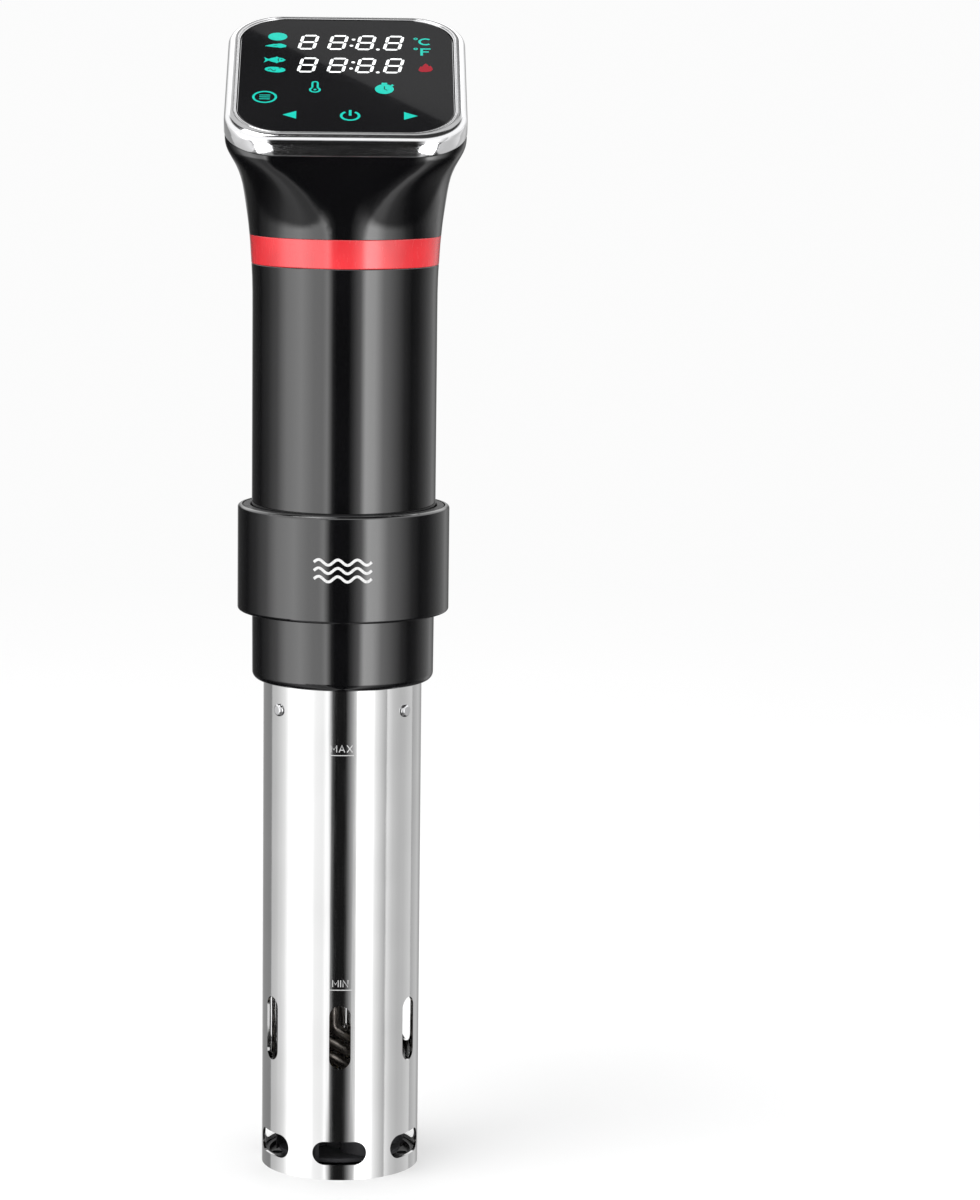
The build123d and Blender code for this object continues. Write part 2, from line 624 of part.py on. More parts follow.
with BuildPart() as heater_base:
    add(
        turned(
            (0, BASE_SPIGOT_BOTTOM),
            (BASE_SPIGOT_R, BASE_SPIGOT_BOTTOM),
            (BASE_SPIGOT_R, BODY_LIP_Z),
            (BASE_FLANGE_R, BODY_LIP_Z),
            (BASE_FLANGE_R, BASE_FLANGE_TOP),
            (BASE_BOSS_R, BASE_FLANGE_TOP),
            (BASE_BOSS_R, BASE_BOSS_TOP),
            (0, BASE_BOSS_TOP),
        )
    )
    revolve(axis=Axis.Z)
    # O-ring grooves
    for groove_r, groove_z, rim in ((24.5, 161.9, BASE_FLANGE_R), (22.2, 142.9, BASE_SPIGOT_R)):
        with BuildSketch(Plane.XY.offset(groove_z)):
            Circle(rim + 0.5)
            Circle(groove_r, mode=Mode.SUBTRACT)
        extrude(amount=2.2, mode=Mode.SUBTRACT)
    # shaft bore with seats for the seal below and the bush above
    with BuildSketch(Plane.XY.offset(BASE_SPIGOT_BOTTOM)):
        Circle(SHAFT_R + 0.4)
    extrude(amount=40, mode=Mode.SUBTRACT)
    with BuildSketch(Plane.XY.offset(BASE_SPIGOT_BOTTOM)):
        Circle(6.0)
    extrude(amount=5.0, mode=Mode.SUBTRACT)
    with BuildSketch(Plane.XY.offset(BASE_BOSS_TOP - 8)):
        Circle(BUSH_R)
    extrude(amount=8.0, mode=Mode.SUBTRACT)
    # holes for what passes through
    for spots, hole_r in (
        (legs, HEATER_R + 0.05),
        ((PROBE_POS,), PROBE_R + 0.05),
        (level_spots, LEVEL_R + 0.05),
    ):
        with BuildSketch(Plane.XY.offset(BASE_SPIGOT_BOTTOM)):
            with Locations(*spots):
                Circle(hole_r)
        extrude(amount=40, mode=Mode.SUBTRACT)
    with BuildSketch(Plane.XY.offset(BASE_SPIGOT_BOTTOM)):
        with Locations(*stay_spots):
            Circle(STAY_R + 0.05)
    extrude(amount=8, mode=Mode.SUBTRACT)
    with BuildSketch(Plane.XY.offset(BASE_FLANGE_TOP - 5)):
        with Locations(*standoff_spots):
            Circle(1.3)
    extrude(amount=5, mode=Mode.SUBTRACT)
    for turn in SLEEVE_SCREW_ANGLES:
        with BuildSketch(facing(turn, SLEEVE_R - 6.2, SLEEVE_SCREW_Z)):
            Circle(1.45)
        extrude(amount=8, mode=Mode.SUBTRACT)
save(heater_base, "heater_base")


def o_ring(middle_r, thick_r, height):
    """An O-ring round the axis."""
    with BuildPart() as ring:
        with Locations((0, 0, height)):
            Torus(middle_r, thick_r)
    return ring


body_seal = o_ring(25.55, 1.0, 163.0)
save(body_seal, "handle_seal_ring")
sleeve_seal = o_ring(23.2, 0.95, 144.0)
save(sleeve_seal, "sleeve_seal_ring")

with BuildPart() as circlip:
    with BuildSketch(Plane.XY.offset(BASE_FLANGE_TOP + 0.4)):
        Circle(BODY_BORE + 0.7)
        Circle(24.0, mode=Mode.SUBTRACT)
        with Locations((0, 26)):
            Rectangle(9, 8, mode=Mode.SUBTRACT)
    extrude(amount=1.4)
save(circlip, "base_retaining_ring")

with BuildPart() as shaft_seal:
    with BuildSketch(Plane.XY.offset(BASE_SPIGOT_BOTTOM + 0.2)):
        Circle(5.95)
        Circle(SHAFT_R + 0.06, mode=Mode.SUBTRACT)
    extrude(amount=4.7)
    with BuildSketch(Plane.XY.offset(BASE_SPIGOT_BOTTOM + 0.2)):
        Circle(4.8)
        Circle(3.4, mode=Mode.SUBTRACT)
    extrude(amount=2.4, mode=Mode.SUBTRACT)
save(shaft_seal, "shaft_seal")


def bush(bottom, height):
    """A plain bearing bush on the pump shaft."""
    with BuildPart() as made:
        with BuildSketch(Plane.XY.offset(bottom)):
            Circle(BUSH_R - 0.03)
            Circle(SHAFT_R + 0.05, mode=Mode.SUBTRACT)
        extrude(amount=height)
    return made


upper_bush = bush(BASE_BOSS_TOP - 8, 8)
save(upper_bush, "upper_shaft_bush")
lower_bush = bush(SPIDER_BOTTOM - 2, 7)
save(lower_bush, "lower_shaft_bush")

with BuildPart() as probe:
    with BuildSketch(Plane.XY.offset(PROBE_TIP_Z)):
        with Locations(PROBE_POS):
            Circle(PROBE_R)
    extrude(amount=BASE_BOSS_TOP - PROBE_TIP_Z)
    fillet(probe.faces().sort_by(Axis.Z)[0].edges(), 1.2)
save(probe, "temperature_probe")

with BuildPart() as level_probes:
    with BuildSketch(Plane.XY.offset(LEVEL_TIP_Z)):
        with Locations(*level_spots):
            Circle(LEVEL_R)
    extrude(amount=BASE_BOSS_TOP - LEVEL_TIP_Z)
    fillet(level_probes.faces().group_by(Axis.Z)[0].edges(), 0.6)
save(level_probes, "water_level_probes")

with BuildPart() as stay_rods:
    with BuildSketch(Plane.XY.offset(SPIDER_BOTTOM - 3)):
        with Locations(*stay_spots):
            Circle(STAY_R)
    extrude(amount=BASE_SPIGOT_BOTTOM + 7.5 - SPIDER_BOTTOM + 3)
save(stay_rods, "stay_rods")

with BuildPart() as stay_nuts:
    with BuildSketch(Plane.XY.offset(SPIDER_BOTTOM - 2.2)):
        with Locations(*stay_spots):
            RegularPolygon(2.9, 6)
            Circle(STAY_R + 0.05, mode=Mode.SUBTRACT)
    extrude(amount=2.2)
save(stay_nuts, "stay_nuts")

with BuildPart() as spider:
    with BuildSketch(Plane.XY.offset(SPIDER_BOTTOM)):
        Circle(8.0)
        for angle, (x, y) in zip(STAY_ANGLES, stay_spots):
            with Locations(Location((x / 2, y / 2, 0), (0, 0, degrees(atan2(y, x))))):
                Rectangle(STAY_RADIUS, 4.5)
            with Locations((x, y)):
                Circle(3.4)
        Circle(BUSH_R, mode=Mode.SUBTRACT)
        with Locations(*stay_spots):
            Circle(STAY_R + 0.05, mode=Mode.SUBTRACT)
    extrude(amount=SPIDER_THICK)
save(spider, "shaft_support_spider")

with BuildPart() as heater_tabs:
    with BuildSketch(Plane.XY.offset(HEATER_TOP)):
        with Locations(*legs):
            Circle(1.4)
    extrude(amount=2.5)
    with BuildSketch(Plane.XY.offset(HEATER_TOP + 2.5)):
        with Locations(*legs):
            Rectangle(4.8, 0.9)
    extrude(amount=6.0)
save(heater_tabs, "heater_terminals")

# ---------------------------------------------------------------- pump rotor

with BuildPart() as drive_shaft:
    with BuildSketch(Plane.XY.offset(SHAFT_BOTTOM)):
        Circle(SHAFT_R)
    extrude(amount=SHAFT_TOP - SHAFT_BOTTOM)
    chamfer(drive_shaft.edges().filter_by(GeomType.CIRCLE), 0.4)
save(drive_shaft, "drive_shaft")

VANES = 6
with BuildPart() as impeller:
    with BuildSketch(Plane.XY.offset(IMPELLER_BOTTOM)):
        Circle(IMPELLER_R - 1.0)
    extrude(amount=1.2)
    with BuildSketch(Plane.XY.offset(IMPELLER_BOTTOM)):
        Circle(IMPELLER_HUB_R)
    extrude(amount=IMPELLER_TOP + 2 - IMPELLER_BOTTOM)
    fillet(impeller.faces().sort_by(Axis.Z)[-1].edges(), 1.2)
    with BuildSketch(Plane.XY.offset(IMPELLER_BOTTOM)):
        for number in range(VANES):
            start = number * 360 / VANES
            with BuildLine():
                inner = ThreePointArc(
                    spot(start, IMPELLER_HUB_R - 1.5)[:2],
                    spot(start + 10, 13.0)[:2],
                    spot(start + 38, IMPELLER_R)[:2],
                )
                outer = ThreePointArc(
                    spot(start + 41.5, IMPELLER_R)[:2],
                    spot(start + 17, 13.4)[:2],
                    spot(start + 20, IMPELLER_HUB_R - 1.5)[:2],
                )
                Line(inner @ 1, outer @ 0)
                Line(outer @ 1, inner @ 0)
            make_face()
    extrude(amount=IMPELLER_TOP - IMPELLER_BOTTOM - 1)
    with BuildSketch(Plane.XY.offset(SHAFT_BOTTOM)):
        Circle(SHAFT_R + SEAT_GAP)
    extrude(amount=20, mode=Mode.SUBTRACT)
save(impeller, "impeller")

COUPLING_BOTTOM, COUPLING_TOP = 175.0, 188.5
with BuildPart() as coupling:
    with BuildSketch(Plane.XY.offset(COUPLING_BOTTOM)):
        Circle(5.5)
        Circle(SHAFT_R + SEAT_GAP, mode=Mode.SUBTRACT)
    extrude(amount=SHAFT_TOP + 0.5 - COUPLING_BOTTOM)
    with BuildSketch(Plane.XY.offset(SHAFT_TOP + 0.5)):
        Circle(5.5)
        Circle(MOTOR_SHAFT_R, mode=Mode.SUBTRACT)
    extrude(amount=COUPLING_TOP - SHAFT_TOP - 0.5)
    outside = coupling.edges().filter_by(GeomType.CIRCLE).filter_by(lambda e: e.radius > 5)
    chamfer(outside.group_by(Axis.Z)[0], 0.5)
    for level in (178.0, 185.5):
        with BuildSketch(facing(0, 0, level)):
            Circle(1.25)
        extrude(amount=8, mode=Mode.SUBTRACT)
save(coupling, "shaft_coupling")

with BuildPart() as grub_screws:
    for level, depth in ((178.0, SHAFT_R), (185.5, MOTOR_SHAFT_R)):
        with BuildSketch(facing(0, depth + 0.05, level)):
            Circle(1.2)
        extrude(amount=5.3 - depth)
save(grub_screws, "coupling_grub_screws")

with BuildPart() as armature:
    with BuildSketch(Plane.XY.offset(SHAFT_TOP + 0.6)):
        Circle(MOTOR_SHAFT_R)
    extrude(amount=MOTOR_TOP + 5 - SHAFT_TOP)
    with BuildSketch(Plane.XY.offset(MOTOR_BOTTOM + 9)):
        Circle(10.4)
        with PolarLocations(10.4, 5):
            Rectangle(7.0, 2.2, mode=Mode.SUBTRACT)
    extrude(amount=17)
    with BuildSketch(Plane.XY.offset(MOTOR_BOTTOM + 6)):
        Circle(8.6)
    extrude(amount=23)
    with BuildSketch(Plane.XY.offset(MOTOR_BOTTOM + 29)):
        Circle(4.2)
    extrude(amount=4.5)
save(armature, "motor_armature")

# ---------------------------------------------------------------- motor

with BuildPart() as motor_can:
    with BuildSketch(Plane.XY.offset(MOTOR_BOTTOM)):
        Circle(MOTOR_R)
    extrude(amount=MOTOR_HEIGHT)
    fillet(motor_can.faces().sort_by(Axis.Z)[0].edges(), 1.0)
    with BuildSketch(Plane.XY.offset(MOTOR_BOTTOM + MOTOR_WALL)):
        Circle(MOTOR_R - MOTOR_WALL)
    extrude(amount=MOTOR_HEIGHT, mode=Mode.SUBTRACT)
    with BuildSketch(Plane.XY.offset(MOTOR_BOTTOM)):
        Circle(3.5)
        with PolarLocations(9.0, 2):
            Circle(1.3)
    extrude(amount=MOTOR_WALL, mode=Mode.SUBTRACT)
save(motor_can, "motor_can")

with BuildPart() as magnets:
    with BuildSketch(Plane.XY.offset(MOTOR_BOTTOM + 6)):
        Circle(MOTOR_R - MOTOR_WALL - 0.05)
        Circle(10.9, mode=Mode.SUBTRACT)
        Rectangle(8, 40, mode=Mode.SUBTRACT)
    extrude(amount=24)
save(magnets, "motor_magnets")

with BuildPart() as motor_bearings:
    with BuildSketch(Plane.XY.offset(MOTOR_BOTTOM)):
        Circle(3.45)
        Circle(MOTOR_SHAFT_R + 0.04, mode=Mode.SUBTRACT)
    extrude(amount=3.5)
    with BuildSketch(Plane.XY.offset(MOTOR_TOP)):
        Circle(3.45)
        Circle(MOTOR_SHAFT_R + 0.04, mode=Mode.SUBTRACT)
    extrude(amount=3.5)
save(motor_bearings, "motor_bearings")

with BuildPart() as end_bell:
    with BuildSketch(Plane.XY.offset(MOTOR_TOP - 2)):
        Circle(MOTOR_R - MOTOR_WALL - 0.05)
        Circle(5.6, mode=Mode.SUBTRACT)
    extrude(amount=2)
    with BuildSketch(Plane.XY.offset(MOTOR_TOP)):
        Circle(MOTOR_R)
        Circle(3.5, mode=Mode.SUBTRACT)
    extrude(amount=1.5)
    with BuildSketch(Plane.XY.offset(MOTOR_TOP + 1.5)):
        Circle(5.5)
        Circle(3.5, mode=Mode.SUBTRACT)
    extrude(amount=2.2)
save(end_bell, "motor_end_bell")

with BuildPart() as motor_plate:
    with BuildSketch(Plane.XY.offset(MOTOR_PLATE_Z)):
        Circle(25.4)
        Circle(5.8, mode=Mode.SUBTRACT)
        with Locations(*standoff_spots):
            Circle(1.6, mode=Mode.SUBTRACT)
        with PolarLocations(9.0, 2):
            Circle(1.4, mode=Mode.SUBTRACT)
        with Locations((-LEAD_X, LEAD_Y), (LEAD_X, LEAD_Y)):
            Circle(2.6, mode=Mode.SUBTRACT)
    extrude(amount=MOTOR_PLATE_THICK)
save(motor_plate, "motor_plate")

with BuildPart() as standoffs:
    with BuildSketch(Plane.XY.offset(BASE_FLANGE_TOP)):
        with Locations(*standoff_spots):
            RegularPolygon(3.2, 6)
    extrude(amount=MOTOR_PLATE_Z - BASE_FLANGE_TOP)
    with BuildSketch(Plane.XY.offset(BASE_FLANGE_TOP - 4.5)):
        with Locations(*standoff_spots):
            Circle(1.25)
    extrude(amount=4.5)
    with BuildSketch(Plane.XY.offset(MOTOR_PLATE_Z - 8)):
        with Locations(*standoff_spots):
            Circle(1.3)
    extrude(amount=8, mode=Mode.SUBTRACT)
save(standoffs, "motor_standoffs")

with BuildPart() as plate_screws:
    with BuildSketch(Plane.XY.offset(MOTOR_BOTTOM)):
        with Locations(*standoff_spots):
            Circle(2.4)
    extrude(amount=1.6)
    with BuildSketch(Plane.XY.offset(MOTOR_BOTTOM - 8)):
        with Locations(*standoff_spots):
            Circle(1.2)
    extrude(amount=8)
save(plate_screws, "motor_plate_screws")

with BuildPart() as motor_screws:
    with BuildSketch(Plane.XY.offset(MOTOR_PLATE_Z - 1.3)):
        with PolarLocations(9.0, 2):
            Circle(2.2)
    extrude(amount=1.3)
    with BuildSketch(Plane.XY.offset(MOTOR_PLATE_Z)):
        with PolarLocations(9.0, 2):
            Circle(1.2)
    extrude(amount=4.2)
save(motor_screws, "motor_screws")

# ---------------------------------------------------------------- power electronics

with BuildPart() as carrier:
    with BuildSketch(Plane.XY.offset(CARRIER_Z)):
        Circle(CARRIER_R)
        with Locations((-LEAD_X, LEAD_Y), (LEAD_X, LEAD_Y)):
            Circle(2.6, mode=Mode.SUBTRACT)
        Circle(9, mode=Mode.SUBTRACT)
    extrude(amount=CARRIER_THICK)
    leg_spots = [spot(angle, 22.0)[:2] for angle in (20, 140, 260)]
    with BuildSketch(Plane.XY.offset(MOTOR_BOTTOM)):
        with Locations(*leg_spots):
            Circle(2.2)
    extrude(amount=CARRIER_Z - MOTOR_BOTTOM)
    with BuildSketch(Plane.XY.offset(CARRIER_Z + CARRIER_THICK)):
        for side in (-1, 1):
            with Locations((side * (POWER_BOARD_HALF_X - 0.5), POWER_BOARD_Y + 0.8)):
                Rectangle(5.0, 5.2)
    extrude(amount=24)
    with BuildSketch(Plane.XY.offset(POWER_BOARD_BOTTOM)):
        with Locations((0, POWER_BOARD_Y + 0.8)):
            Rectangle(2 * POWER_BOARD_HALF_X + 0.1, BOARD_THICK + 0.1)
    extrude(amount=40, mode=Mode.SUBTRACT)
save(carrier, "board_carrier")

with BuildPart() as power_board:
    with BuildSketch(along_y(0, POWER_BOARD_Y, (POWER_BOARD_BOTTOM + POWER_BOARD_TOP) / 2)):
        Rectangle(2 * POWER_BOARD_HALF_X, POWER_BOARD_TOP - POWER_BOARD_BOTTOM)
    extrude(amount=BOARD_THICK)
save(power_board, "power_board")

COMPONENT_Y = POWER_BOARD_Y + BOARD_THICK


def on_board(x, z, width, height, depth, corner=0.4):
    """A block that stands on the back of the power board."""
    with BuildPart() as block:
        with BuildSketch(along_y(x, COMPONENT_Y, z)):
            RectangleRounded(width, height, corner)
        extrude(amount=depth)
    return block


transformer = on_board(-8.0, 251.0, 17.0, 16.0, 14.0, 1.0)
save(transformer, "transformer")
relay = on_board(10.0, 250.0, 14.0, 18.0, 15.0, 0.6)
save(relay, "heater_relay")
terminal_block = on_board(0.0, 281.5, 22.0, 9.0, 10.0)
save(terminal_block, "terminal_block")

with BuildPart() as capacitors:
    for x, z, radius, length in ((-12.5, 268.0, 4.0, 13.0), (-3.5, 267.0, 3.0, 10.0)):
        with BuildSketch(along_y(x, COMPONENT_Y, z)):
            Circle(radius)
        extrude(amount=length)
    fillet(capacitors.faces().filter_by(Axis.Y).sort_by(Axis.Y)[-2:].edges(), 0.5)
save(capacitors, "capacitors")

with BuildPart() as heatsink:
    with BuildSketch(Plane.XY.offset(263.0)):
        with Locations((10.0, COMPONENT_Y + 1.0)):
            Rectangle(15.0, 2.0)
        for number in range(5):
            with Locations((4.0 + 3.0 * number, COMPONENT_Y + 6.0)):
                Rectangle(1.0, 8.0)
    extrude(amount=12.0)
save(heatsink, "triac_heatsink")


def lead(points, radius, bend):
    """An insulated lead held inside the housing, along runs joined by tangent arcs."""
    with BuildPart() as wire:
        with BuildLine() as run:
            FilletPolyline(*points, radius=bend)
        start = run.wires()[0]
        with BuildSketch(Plane(origin=start @ 0, z_dir=start % 0)):
            Circle(radius)
        sweep(path=run.wires()[0])
    return wire


lead_a = (
    (-5.0, 6.0, 281.5),
    (-5.0, 16.0, 281.5),
    (-LEAD_X, LEAD_Y, 262.0),
    (-LEAD_X, LEAD_Y, 188.0),
    (-15.0, 4.0, 183.0),
    (*leg_b, 187.0),
    (*leg_b, HEATER_TOP + 8.7),
)
lead_b = (
    (5.0, 6.0, 281.5),
    (5.0, 16.0, 281.5),
    (LEAD_X, LEAD_Y, 262.0),
    (LEAD_X, LEAD_Y, 188.0),
    (15.0, 2.0, 183.0),
    (9.0, -13.0, 183.0),
    (*leg_a, 187.0),
    (*leg_a, HEATER_TOP + 8.7),
)
with BuildPart() as heater_leads:
    add(lead(lead_a, LEAD_R, 2.5).part)
    add(lead(lead_b, LEAD_R, 2.5).part)
save(heater_leads, "heater_leads")
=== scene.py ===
"""The finished look of the sous vide circulator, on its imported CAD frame.

Metres, +Z up, the display faces -Y. Sizes marked mm are turned into metres by MM.
"""

from math import cos, pi, radians, sin, sqrt

import bmesh
import bpy
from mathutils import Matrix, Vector


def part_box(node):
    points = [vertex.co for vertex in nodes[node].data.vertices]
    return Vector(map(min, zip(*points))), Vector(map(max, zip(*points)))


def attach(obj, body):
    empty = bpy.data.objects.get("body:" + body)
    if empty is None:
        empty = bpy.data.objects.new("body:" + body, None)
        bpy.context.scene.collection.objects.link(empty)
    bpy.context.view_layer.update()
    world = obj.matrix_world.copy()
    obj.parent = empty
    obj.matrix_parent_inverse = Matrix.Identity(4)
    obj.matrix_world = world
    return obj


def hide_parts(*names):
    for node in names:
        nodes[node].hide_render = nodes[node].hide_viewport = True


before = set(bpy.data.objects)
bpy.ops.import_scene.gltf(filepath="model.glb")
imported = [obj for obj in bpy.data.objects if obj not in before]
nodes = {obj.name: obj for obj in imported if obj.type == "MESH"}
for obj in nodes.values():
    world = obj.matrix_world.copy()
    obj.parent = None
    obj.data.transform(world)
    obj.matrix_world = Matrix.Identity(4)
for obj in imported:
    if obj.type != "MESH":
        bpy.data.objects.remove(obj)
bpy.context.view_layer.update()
scene = bpy.context.scene

MM = 0.001
PRINT_LIFT = 0.03 * MM

# ---------------------------------------------------------------- places read from the frame

RIGHT = Vector((1, 0, 0))
PANEL_TILT = radians(27)
PANEL_NORMAL = Vector((0, -sin(PANEL_TILT), cos(PANEL_TILT)))
PANEL_REAR = Vector((0, cos(PANEL_TILT), sin(PANEL_TILT)))
GLASS_THICK = 1.8 * MM
glass_low, glass_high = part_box("panel_glass")
GLASS_CENTRE = (glass_low + glass_high) / 2 + PANEL_NORMAL * GLASS_THICK / 2
# the symbols are drawn for a glass this wide; ARTWORK_MM is one of their millimetres, in metres
ARTWORK_GLASS_WIDTH = 68.6
ARTWORK_MM = (glass_high.x - glass_low.x) / ARTWORK_GLASS_WIDTH


def radius_of(node):
    """Half of a round node's width."""
    low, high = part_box(node)
    return (high.x - low.x) / 2


def middle_of(node):
    """The centre of a node's box."""
    low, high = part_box(node)
    return (low + high) / 2


SLEEVE_R = radius_of("steel_sleeve")
COLLAR_R = radius_of("clamp_collar")
COLLAR_MIDDLE_Z = middle_of("clamp_liner").z


def panel_point(u, v, lift=0.0):
    """A point on the glass, u to the right and v to the rear, both in artwork millimetres."""
    return GLASS_CENTRE + (RIGHT * u + PANEL_REAR * v) * ARTWORK_MM + PANEL_NORMAL * lift


def round_point(radius, centre_z):
    """A mapping from flat millimetres to the front of a cylinder round the axis."""

    def place(u, v, lift=0.0):
        angle = u * MM / radius
        out = radius + lift
        return Vector((out * sin(angle), -out * cos(angle), centre_z + v * MM))

    return place


# ---------------------------------------------------------------- node-tree helpers


def fill_ramp(ramp, stops):
    """Gives a colour ramp its (place, colour) stops."""
    elements = ramp.elements
    while len(elements) > 1:
        elements.remove(elements[-1])
    elements[0].position = stops[0][0]
    elements[0].color = (*stops[0][1], 1)
    for place, colour in stops[1:]:
        elements.new(place).color = (*colour, 1)


class Shader:
    """A small wrapper that builds one Principled material."""

    def __init__(self, name, colour, metallic=0.0, roughness=0.4):
        self.material = bpy.data.materials.new(name)
        self.material.use_nodes = True
        self.nodes = self.material.node_tree.nodes
        self.links = self.material.node_tree.links
        self.surface = self.nodes["Principled BSDF"]
        self.set("Base Color", (*colour, 1))
        self.set("Metallic", metallic)
        self.set("Roughness", roughness)

    def set(self, socket, value):
        """Sets a constant on the shader's own socket."""
        self.surface.inputs[socket].default_value = value
        return self

    def add(self, kind, **inputs):
        """Adds a node and sets its inputs by name."""
        node = self.nodes.new(kind)
        for name, value in inputs.items():
            node.inputs[name.replace("_", " ")].default_value = value
        return node

    def coordinates(self, stretch=(1, 1, 1)):
        """Object coordinates in metres, stretched along each axis."""
        source = self.nodes.new("ShaderNodeTexCoord")
        mapping = self.nodes.new("ShaderNodeMapping")
        mapping.inputs["Scale"].default_value = stretch
        self.links.new(source.outputs["Object"], mapping.inputs["Vector"])
        return mapping.outputs["Vector"]

    def noise(self, scale, detail=4.0, stretch=(1, 1, 1), rough=0.55):
        """A noise pattern's value."""
        node = self.add("ShaderNodeTexNoise", Scale=scale, Detail=detail, Roughness=rough)
        self.links.new(self.coordinates(stretch), node.inputs["Vector"])
        return node.outputs["Fac"]

    def ramp(self, factor, stops):
        """A colour ramp over a factor, from (place, colour) stops."""
        node = self.nodes.new("ShaderNodeValToRGB")
        fill_ramp(node.color_ramp, stops)
        self.links.new(factor, node.inputs["Fac"])
        return node.outputs["Color"]

    def range(self, factor, low, high, source_low=0.3, source_high=0.7):
        """A factor mapped to a range."""
        node = self.nodes.new("ShaderNodeMapRange")
        node.inputs["From Min"].default_value = source_low
        node.inputs["From Max"].default_value = source_high
        node.inputs["To Min"].default_value = low
        node.inputs["To Max"].default_value = high
        self.links.new(factor, node.inputs["Value"])
        return node.outputs["Result"]

    def colour_from(self, output):
        """Drives the base colour."""
        self.links.new(output, self.surface.inputs["Base Color"])
        return self

    def roughness_from(self, output):
        """Drives the roughness."""
        self.links.new(output, self.surface.inputs["Roughness"])
        return self

    def bump(self, output, distance, strength=1.0):
        """Adds a bump, in metres, on top of any bump already there."""
        node = self.add("ShaderNodeBump", Strength=strength, Distance=distance)
        self.links.new(output, node.inputs["Height"])
        normal = self.surface.inputs["Normal"]
        if normal.links:
            self.links.new(normal.links[0].from_socket, node.inputs["Normal"])
        self.links.new(node.outputs["Normal"], normal)
        return self


def shade(colour, factor):
    """A colour made lighter or darker."""
    return tuple(min(1.0, part * factor) for part in colour)


def gloss_plastic(name, colour, roughness=0.09, ripple=0.012):
    """Injection-moulded gloss plastic with a faint flow ripple and hairline handling marks."""
    made = Shader(name, colour, roughness=roughness)
    made.set("Coat Weight", 1.0)
    made.set("Coat Roughness", 0.03)
    made.set("Coat IOR", 1.75)
    slow = made.noise(45, detail=2)
    made.colour_from(made.ramp(slow, [(0.3, shade(colour, 0.85)), (0.7, shade(colour, 1.2))]))
    marks = made.noise(900, detail=3, stretch=(1, 1, 0.25))
    made.roughness_from(made.range(marks, roughness * 0.7, roughness * 1.5))
    made.bump(made.noise(120, detail=1), ripple * MM)
    return made.material


def satin_plastic(name, colour, roughness=0.42, grain=0.03):
    """Moulded plastic with a fine spark-eroded grain."""
    made = Shader(name, colour, roughness=roughness)
    made.set("Specular IOR Level", 0.45)
    slow = made.noise(60, detail=3)
    made.colour_from(made.ramp(slow, [(0.3, shade(colour, 0.8)), (0.7, shade(colour, 1.3))]))
    made.roughness_from(made.range(made.noise(400), roughness * 0.85, roughness * 1.2))
    made.bump(made.noise(2600, detail=2), grain * MM)
    return made.material


def rubber(name, colour):
    """Soft matte rubber with a dusty, mottled surface."""
    made = Shader(name, colour, roughness=0.75)
    made.set("Specular IOR Level", 0.25)
    slow = made.noise(90, detail=4)
    made.colour_from(made.ramp(slow, [(0.3, shade(colour, 0.7)), (0.75, shade(colour, 1.6))]))
    made.bump(made.noise(1500, detail=3), 0.03 * MM)
    return made.material


def polished_metal(name, colour, roughness=0.06, grain=(1, 1, 1), depth=0.002):
    """Polished or ground metal; grain stretches its fine lines along an axis."""
    made = Shader(name, colour, metallic=1.0, roughness=roughness)
    lines = made.noise(2200, detail=3, stretch=grain)
    slow = made.noise(30, detail=2)
    made.colour_from(made.ramp(slow, [(0.3, shade(colour, 0.95)), (0.7, shade(colour, 1.04))]))
    made.roughness_from(made.range(lines, roughness * 0.75, roughness * 1.4))
    made.bump(lines, depth * MM)
    return made.material


def heat_tinted_steel():
    """Heater sheath steel, darkened by heat and water marks."""
    made = Shader("heater_sheath", (0.3, 0.28, 0.26), metallic=1.0, roughness=0.3)
    blotches = made.noise(160, detail=5)
    tints = [(0.3, (0.12, 0.11, 0.10)), (0.55, (0.36, 0.33, 0.30)), (0.75, (0.42, 0.36, 0.27))]
    made.colour_from(made.ramp(blotches, tints))
    made.roughness_from(made.range(made.noise(700), 0.22, 0.45))
    made.bump(made.noise(1800), 0.01 * MM)
    return made.material


def panel_glass():
    """Black-backed tempered glass."""
    made = Shader("black_panel_glass", (0.006, 0.006, 0.007), roughness=0.03)
    made.set("Coat Weight", 1.0)
    made.set("Coat Roughness", 0.015)
    made.set("Coat IOR", 1.5)
    made.roughness_from(made.range(made.noise(500), 0.02, 0.05))
    depth = made.noise(25, detail=2)
    made.colour_from(made.ramp(depth, [(0.3, (0.005, 0.005, 0.006)), (0.7, (0.008, 0.008, 0.009))]))
    return made.material


def lit_print(name, colour, strength):
    """A lit symbol seen through the glass: even colour with a slightly uneven glow."""
    made = Shader(name, colour, roughness=0.08)
    made.set("Coat Weight", 1.0)
    made.set("Coat Roughness", 0.02)
    glow = made.ramp(made.noise(700, detail=2), [(0.3, shade(colour, 0.88)), (0.7, colour)])
    made.links.new(glow, made.surface.inputs["Emission Color"])
    made.colour_from(glow)
    made.set("Emission Strength", strength)
    return made.material


def circuit_board():
    """Green solder mask over a pattern of copper tracks."""
    made = Shader("circuit_board", (0.02, 0.14, 0.06), roughness=0.35)
    made.set("Coat Weight", 0.5)
    tracks = made.nodes.new("ShaderNodeTexBrick")
    tracks.inputs["Scale"].default_value = 260
    tracks.inputs["Mortar Size"].default_value = 0.12
    tracks.inputs["Color1"].default_value = (0.015, 0.11, 0.045, 1)
    tracks.inputs["Color2"].default_value = (0.02, 0.15, 0.06, 1)
    tracks.inputs["Mortar"].default_value = (0.06, 0.24, 0.09, 1)
    made.links.new(made.coordinates(), tracks.inputs["Vector"])
    made.colour_from(tracks.outputs["Color"])
    made.bump(tracks.outputs["Fac"], 0.03 * MM)
    return made.material


